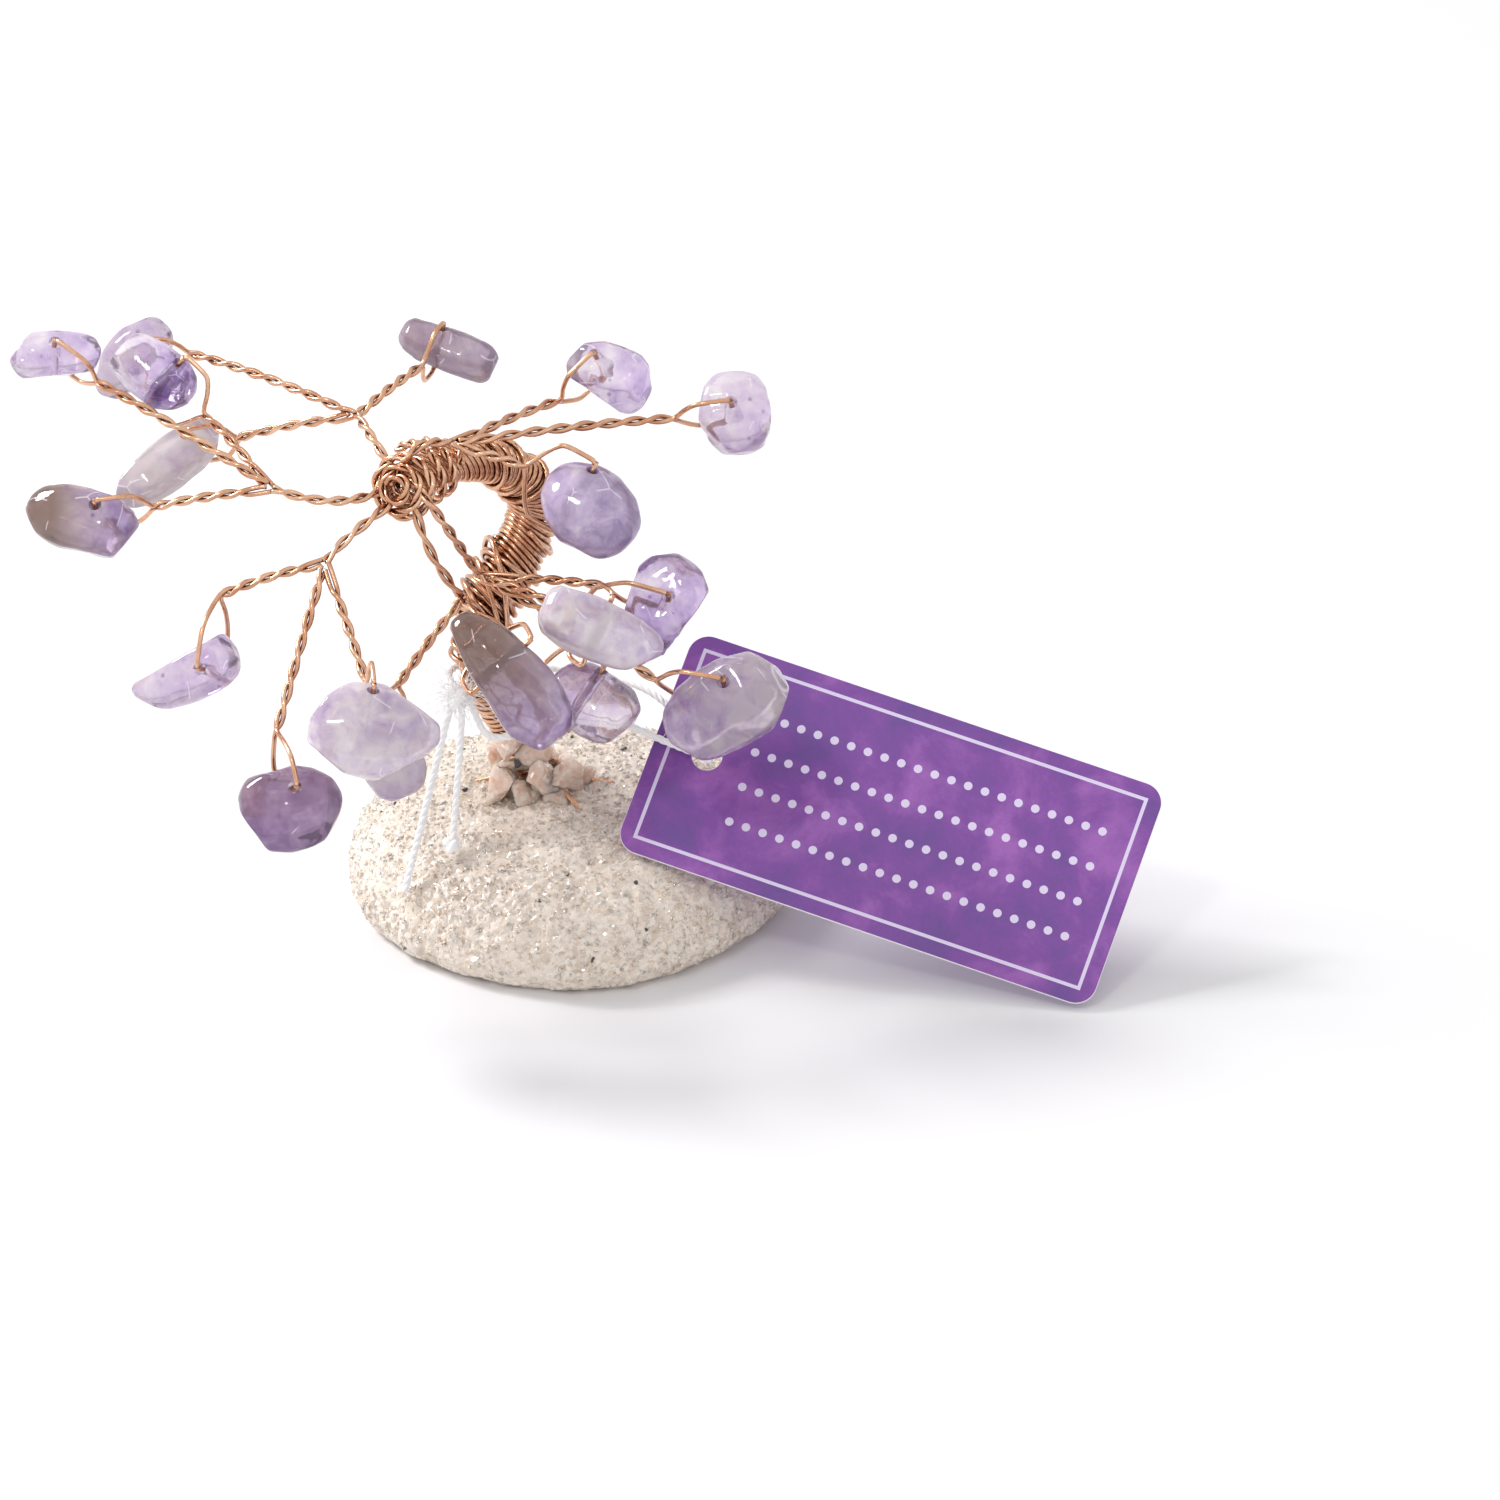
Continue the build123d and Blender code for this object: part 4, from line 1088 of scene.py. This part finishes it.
class GEM_OT_mound(bpy.types.Operator):
    """Makes the cast mound: a rough resin body with thousands of broken quartz grains in its skin"""
    bl_idname = "gem.mound"
    bl_label = "Mound of grit"

    def execute(self, context):
        mound = context.scene.gem_mound
        finishes = [grit_material(*row) for row in (
            ("quartz_grit_cream", mound.cream, mound.beige, 0.0, 0.25),
            ("quartz_grit_milky", mound.milk, mound.cream, 0.30, 0.10),
            ("quartz_grit_beige", mound.beige, mound.cream, 0.0, 0.3),
            ("quartz_grit_clear", mound.milk, mound.milk, 0.75, 0.05),
            ("mineral_speck_black", mound.black, mound.black, 0.0, 0.3))]
        thing = linked("grit_mound", mesh_of("grit_mound", *welded("base_mound")))
        mesh = evened(thing, mound.grain)
        co = corners_of(mesh)
        rise = np.clip(co[:, 2] / (ROUGH_RISE * MM), 0, 1)
        rough = np.array([noise.cell(Vector(p) / (ROUGH_STEP * MM)) - ROUGH_SINK
                          + ROUGH_SWELL * fbm(p, ROUGH_LUMP * MM, 3) for p in co])
        co = co + corners_of(mesh, "normal") * (rough * ROUGH_HEIGHT * MM * rise)[:, None]
        co[:, 2] = np.maximum(co[:, 2], 0.0)
        moved(mesh, co)
        settle(thing, "tree", finishes[:1], ["base_mound"], smooth=False)
        self.scatter(mesh, mound, finishes)
        return {"FINISHED"}

    def scatter(self, mesh, mound, finishes):
        """Sets grains into the mound's skin, black ones last."""
        draw = np.random.default_rng(GRAIN_SEED)
        shapes = [grain_shape(draw) for _ in range(GRAIN_SHAPES)]
        centres, normals, areas = [np.array([getattr(face, key) for face in mesh.polygons])
                                   for key in ("center", "normal", "area")]
        chance = areas * ((centres[:, 2] > GRAIN_LOWEST * MM) & (normals[:, 2] > GRAIN_TILT))
        picks = draw.choice(len(centres), size=mound.grains + mound.specks, p=chance / chance.sum())
        points = []
        faces = []
        kinds = []
        count = 0
        for number, pick in enumerate(picks):
            shape, hull = shapes[draw.integers(GRAIN_SHAPES)]
            size = mound.grit * (GRAIN_LEAST + GRAIN_MORE * draw.random() ** 2)
            kind = int(draw.choice(len(GRAIN_KINDS), p=GRAIN_KINDS))
            stray = (draw.random(3) - 0.5) * mound.grain
            place = centres[pick] + stray - normals[pick] * size * GRAIN_SINK
            if number >= mound.grains:
                kind = len(GRAIN_KINDS)
                size = size * SPECK_SIZE
                place = centres[pick]
            more = shape @ turned(draw).T * size + place
            more[:, 2] = np.maximum(more[:, 2], GRAIN_OFF * MM)
            points.append(more)
            faces.extend([[i + count for i in face] for face in hull])
            kinds.extend([kind] * len(hull))
            count += len(more)
        thing = piece("grit_grains", np.vstack(points), faces, "tree", finishes, smooth=False)
        thing.data.polygons.foreach_set("material_index", kinds[:len(thing.data.polygons)])


# More broken lumps heaped round the trunk's foot: centre and width in mm, for shapes about 0.8 across
HEAP_GROWTH = 1.75
FOOT_HEAP = ((-4.7, -2.4, 13.8, 2.2), (-3.0, -2.3, 13.3, 2.5), (-4.5, -2.9, 11.8, 2.8),
             (-2.4, -2.8, 11.5, 3.0), (-0.4, -2.1, 10.9, 2.9), (1.2, -1.6, 9.9, 2.5),
             (-0.8, -3.3, 9.8, 2.6), (-3.1, -3.8, 9.8, 2.8), (-5.4, -3.0, 10.4, 2.7),
             (-1.1, 1.2, 10.6, 2.8), (-3.7, 1.4, 11.0, 2.6), (-5.9, 0.6, 10.6, 2.5))
HEAP_SEED = 8
# A black mineral grain caught in the heap: centre and width in mm
FOOT_SPECK = (-4.2, -4.1, 13.2, 1.3)
# The lumps' mesh grain and wear in mm, how round they are, their flats' number and depth, and first seed
LUMP_GRAIN = 0.14
LUMP_WEAR = 0.10
LUMP_RELAX = 4
LUMP_FLATS = 9
LUMP_DEPTH = 0.2
LUMP_SEED = 60


class GEM_OT_foot(bpy.types.Operator):
    """Makes the clear quartz lumps glued round the trunk's foot"""
    bl_idname = "gem.foot"
    bl_label = "Quartz at the foot"

    def execute(self, context):
        mound = context.scene.gem_mound
        # The lumps' pink tone is painted light, the copper seen through the clear quartz
        glass = grit_material("quartz_crushed_clear", mound.painted_copper_glow, mound.cream, 0.10, 0.05, 1.0)
        points, triangles = welded("foot_quartz")
        lumps = [points[sorted(i for ring in spread for i in ring)]
                 for spread in loose_parts(neighbours(points, triangles))]
        draw = np.random.default_rng(HEAP_SEED)
        for *place, width in FOOT_HEAP:
            lumps.append((grain_shape(draw)[0] * width * HEAP_GROWTH + np.array(place)) * MM)
        bm = bmesh.new()
        for seed, lump in enumerate(lumps, LUMP_SEED):
            thing = tumbled("foot_lump", lump, LUMP_GRAIN * MM, LUMP_RELAX, LUMP_FLATS, LUMP_DEPTH, seed)
            worn(thing, max(np.ptp(lump, axis=0)), LUMP_WEAR * MM, seed)
            bm.from_mesh(thing.data)
            bpy.data.objects.remove(thing)
        *place, width = FOOT_SPECK
        shape, hull = grain_shape(draw)
        speck = [bm.verts.new(point) for point in (shape * width + np.array(place)) * MM]
        for face in hull:
            bm.faces.new([speck[i] for i in face]).material_index = 1
        thing = linked("quartz_foot", mesh_from("quartz_foot", bm))
        settle(thing, "tree", [glass, bpy.data.materials["mineral_speck_black"]],
               ["foot_quartz"])
        return {"FINISHED"}


# Tag and thread

# Frame line and dots of the print, in mm
FRAME_INSET = 1.3
FRAME_LINE = 0.28
DOT_SPACING = (1.4, 3.0)
DOT_RADIUS = 0.34
DOT_MARGIN = 3.0
# The thread's route in mm, its length along it, and where its loop is knotted
THREAD_ROUTE = (
    (-12.9, -11.6, 5.7), (-11.9, -9.6, 9.0), (-10.7, -7.3, 13.4), (-9.7, -5.3, 17.0), (-9.1, -4.3, 19.0),
    (-8.5, -3.9, 19.7), (-7.8, -4.2, 19.1), (-7.3, -4.5, 17.7), (-6.6, -4.7, 16.1), (-5.2, -4.7, 15.7),
    (-3.4, -4.5, 16.4), (0.0, -4.2, 16.9), (4.2, -4.2, 17.0), (7.4, -5.2, 15.9), (9.8, -6.1, 15.3),
    (10.9, -6.5, 15.0), (11.2, -5.2, 13.8), (10.3, -3.7, 14.5), (8.8, -1.7, 16.1), (6.6, 0.2, 17.5),
    (3.2, 1.8, 18.0), (-1.0, 2.2, 18.4), (-4.6, 2.2, 18.9), (-7.4, 1.8, 19.2), (-9.1, 0.2, 19.7),
    (-9.6, -2.0, 20.0), (-9.1, -3.6, 20.2), (-8.3, -4.9, 19.2), (-8.4, -5.7, 17.2), (-8.7, -7.2, 13.6),
    (-9.0, -9.2, 9.8), (-9.2, -10.2, 8.5))
LOOP_KNOT_AT = (-8.7, -4.4, 19.4)
# Step along the thread in mm, its plies, a ply's radius as a share of the thread's width, and its sides
THREAD_STEP = 0.12
PLIES = 3
PLY_RADIUS = 0.26
PLY_SIDES = 7
# The knot that closes the loop and the one that stops the tail: width and the strand's radius, in mm
LOOP_KNOT = (2.6, 0.4)
STOP_KNOT = (1.7, 0.32)
# The stop knot's place, counted back from the route's end, and the frayed start's length, in steps
STOP_KNOT_BACK = 6
FRAYED_STEPS = 10
# Loose fibres at the loop's knot, the frayed start, the stop knot and all along: count and reach in mm
FUZZ = ((320, 1.9), (30, 1.0), (16, 0.6), (240, 0.5))
FIBRE_SEED = 5
FIBRE_RADIUS = 0.022
FIBRE_SIDES = 6
# The card's pressed rim: width in mm, on edges steeper than this in degrees
CARD_BEVEL = 0.10
RIM_ANGLE = 60


def nurbs_points(route):
    """Points read from the route's own smooth curve."""
    data = bpy.data.curves.new("thread_route", "CURVE")
    data.dimensions = "3D"
    data.resolution_u = 14
    spline = data.splines.new("NURBS")
    spline.points.add(len(route) - 1)
    for point, place in zip(spline.points, route):
        point.co = (place[0] * MM, place[1] * MM, place[2] * MM, 1.0)
    spline.order_u = 3
    spline.use_endpoint_u = True
    thing = linked("thread_route", data)
    bpy.context.view_layer.update()
    graph = bpy.context.evaluated_depsgraph_get()
    mesh = bpy.data.meshes.new_from_object(thing.evaluated_get(graph))
    points = np.array([v.co for v in mesh.vertices])
    bpy.data.meshes.remove(mesh)
    bpy.data.objects.remove(thing)
    return points


def plied(line, radius, pitch, plies):
    """The plies of a twisted thread about a line."""
    _, side, up = carried_frames(line)
    turn = run_along(line) / pitch * 2 * math.pi
    return [line + about(side, up, turn + ply * 2 * math.pi / plies) * radius / 2 for ply in range(plies)]


def knot_lines(centre, size, radius):
    """An overhand knot as a closed trefoil, thick enough to look pulled tight."""
    turn = np.linspace(0, 2 * math.pi, 90)
    shape = np.array([np.sin(turn) + 1.7 * np.sin(2 * turn), np.cos(turn) - 1.7 * np.cos(2 * turn),
                      -1.6 * np.sin(3 * turn)]).T
    return shape * (size / 2 - radius) / 2.8 + np.array(centre)


def fuzz(points, draw, count, reach):
    """Loose cotton fibres that curl away from the given points."""
    share = np.linspace(0, 1, 7)[:, None]
    lines = []
    for _ in range(count):
        start = points[draw.integers(len(points))]
        direction = unit(draw.normal(size=3))
        bend = draw.normal(size=3) * 0.5
        size = reach * (0.4 + 0.6 * draw.random())
        lines.append(start + (direction * share + bend * share ** 2) * size)
    return lines


class GEM_OT_thread(bpy.types.Operator):
    """Makes the tag's cotton thread, its knots and its loose fibres along the thread's route"""
    bl_idname = "gem.thread"
    bl_label = "Tag thread"

    def execute(self, context):
        tag = context.scene.gem_tag
        cotton = paper_material("cotton_plied_bleached", tag.cotton, 0.12, 0.3)
        line = nurbs_points(THREAD_ROUTE)
        fine = even_line(line, THREAD_STEP * MM)
        lines = plied(fine, tag.thread / 2, tag.ply_pitch, PLIES)
        points, faces = tubes(lines, [tag.thread * PLY_RADIUS] * PLIES, PLY_SIDES)
        thread = piece("thread_cotton", points, faces, "tree", [cotton], ["tag_thread"])
        draw = np.random.default_rng(FIBRE_SEED)
        loop_size, loop_radius = np.array(LOOP_KNOT) * MM
        stop_size, stop_radius = np.array(STOP_KNOT) * MM
        loop = knot_lines(np.array(LOOP_KNOT_AT) * MM, loop_size, loop_radius)
        stop = knot_lines(fine[-STOP_KNOT_BACK], stop_size, stop_radius)
        loose = []
        for places, (count, reach) in zip((loop, fine[:FRAYED_STEPS], stop, fine), FUZZ):
            loose += fuzz(places, draw, count, reach * MM)
        points, faces = tubes([loop, stop] + loose,
                              [loop_radius, stop_radius] + [FIBRE_RADIUS * MM] * len(loose), FIBRE_SIDES)
        knots = piece("thread_knots", points, faces, "tree", [cotton])
        tuple(np.array(THREAD_ROUTE[0]) * MM)
        [list(p) for p in even_line(line, 0.3 * MM)]
        return {"FINISHED"}


class GEM_OT_card(bpy.types.Operator):
    """Makes the card tag with its printed faces and white cut edge"""
    bl_idname = "gem.card"
    bl_label = "Card tag"

    def execute(self, context):
        tag = context.scene.gem_tag
        paper = paper_material("card_cut_edge", tag.paper, 0.2, 0.0)
        joint = next(j for j in frame["joints"] if j["child"] == "tag")
        normal = unit(joint["axis"])
        points, triangles = welded("tag_card")
        offset = points - points.mean(axis=0)
        _, _, axes = np.linalg.svd(offset - np.outer(offset @ normal, normal), full_matrices=False)
        flat = points @ axes[:2].T
        centre = middle_of(flat)
        reach = [float(value) for value in np.ptp(flat, axis=0) / 2 / MM]
        hole = float(np.array(joint["pos_m"]) @ axes[0] - centre[0])
        way = -1 if hole > 0 else 1
        ink = print_material(tag, reach, -abs(hole) / MM)
        bm = bmesh.new()
        verts = [bm.verts.new(point) for point in points]
        for triangle in triangles:
            bm.faces.new([verts[i] for i in triangle])
        bmesh.ops.recalc_face_normals(bm, faces=bm.faces)
        rim = [e for e in bm.edges
               if len(e.link_faces) == 2 and e.calc_face_angle(0) > math.radians(RIM_ANGLE)]
        bmesh.ops.bevel(bm, geom=rim, offset=CARD_BEVEL * MM, segments=2, profile=0.5, affect="EDGES")
        layer = bm.loops.layers.uv.new("card_mm")
        for face in bm.faces:
            face.material_index = 0 if abs(face.normal.dot(Vector(normal))) > 0.9 else 1
            for loop in face.loops:
                loop[layer].uv = tuple((axes[:2] @ np.array(loop.vert.co) - centre) * way / MM)
        thing = linked("tag_printed_card", mesh_from("tag_printed_card", bm))
        settle(thing, "tag", [ink, paper], ["tag_card"], smooth=False)
        return {"FINISHED"}


STEPS = (GEM_OT_stage, GEM_OT_thread, GEM_OT_sprays, GEM_OT_trunk, GEM_OT_crown, GEM_OT_chips,
         GEM_OT_mound, GEM_OT_foot, GEM_OT_card)


class GEM_PT_panel(bpy.types.Panel):
    """Lists the steps that dress the gemstone tree, with their sizes and colours"""
    bl_idname = "GEM_PT_panel"
    bl_label = "Gemstone tree"
    bl_space_type = "VIEW_3D"
    bl_region_type = "UI"
    bl_category = "Gem tree"

    def draw(self, context):
        for name, group in GROUPS.items():
            box = self.layout.box()
            box.label(text=group.__doc__)
            for key in group.__annotations__:
                box.prop(getattr(context.scene, name), key)
        for step in STEPS:
            self.layout.operator(step.bl_idname)


def register():
    """Registers the settings, steps and panel."""
    for group in GROUPS.values():
        bpy.utils.register_class(group)
    for name, group in GROUPS.items():
        setattr(bpy.types.Scene, name, PointerProperty(type=group))
    for step in STEPS:
        bpy.utils.register_class(step)
    bpy.utils.register_class(GEM_PT_panel)


def unregister():
    """Takes them away again."""
    bpy.utils.unregister_class(GEM_PT_panel)
    for step in reversed(STEPS):
        bpy.utils.unregister_class(step)
    for name, group in GROUPS.items():
        delattr(bpy.types.Scene, name)
        bpy.utils.unregister_class(group)


def main():
    """Runs every step in order."""
    register()
    for step in STEPS:
        getattr(bpy.ops.gem, step.bl_idname.split(".")[1])()


if __name__ == "__main__":
    main()
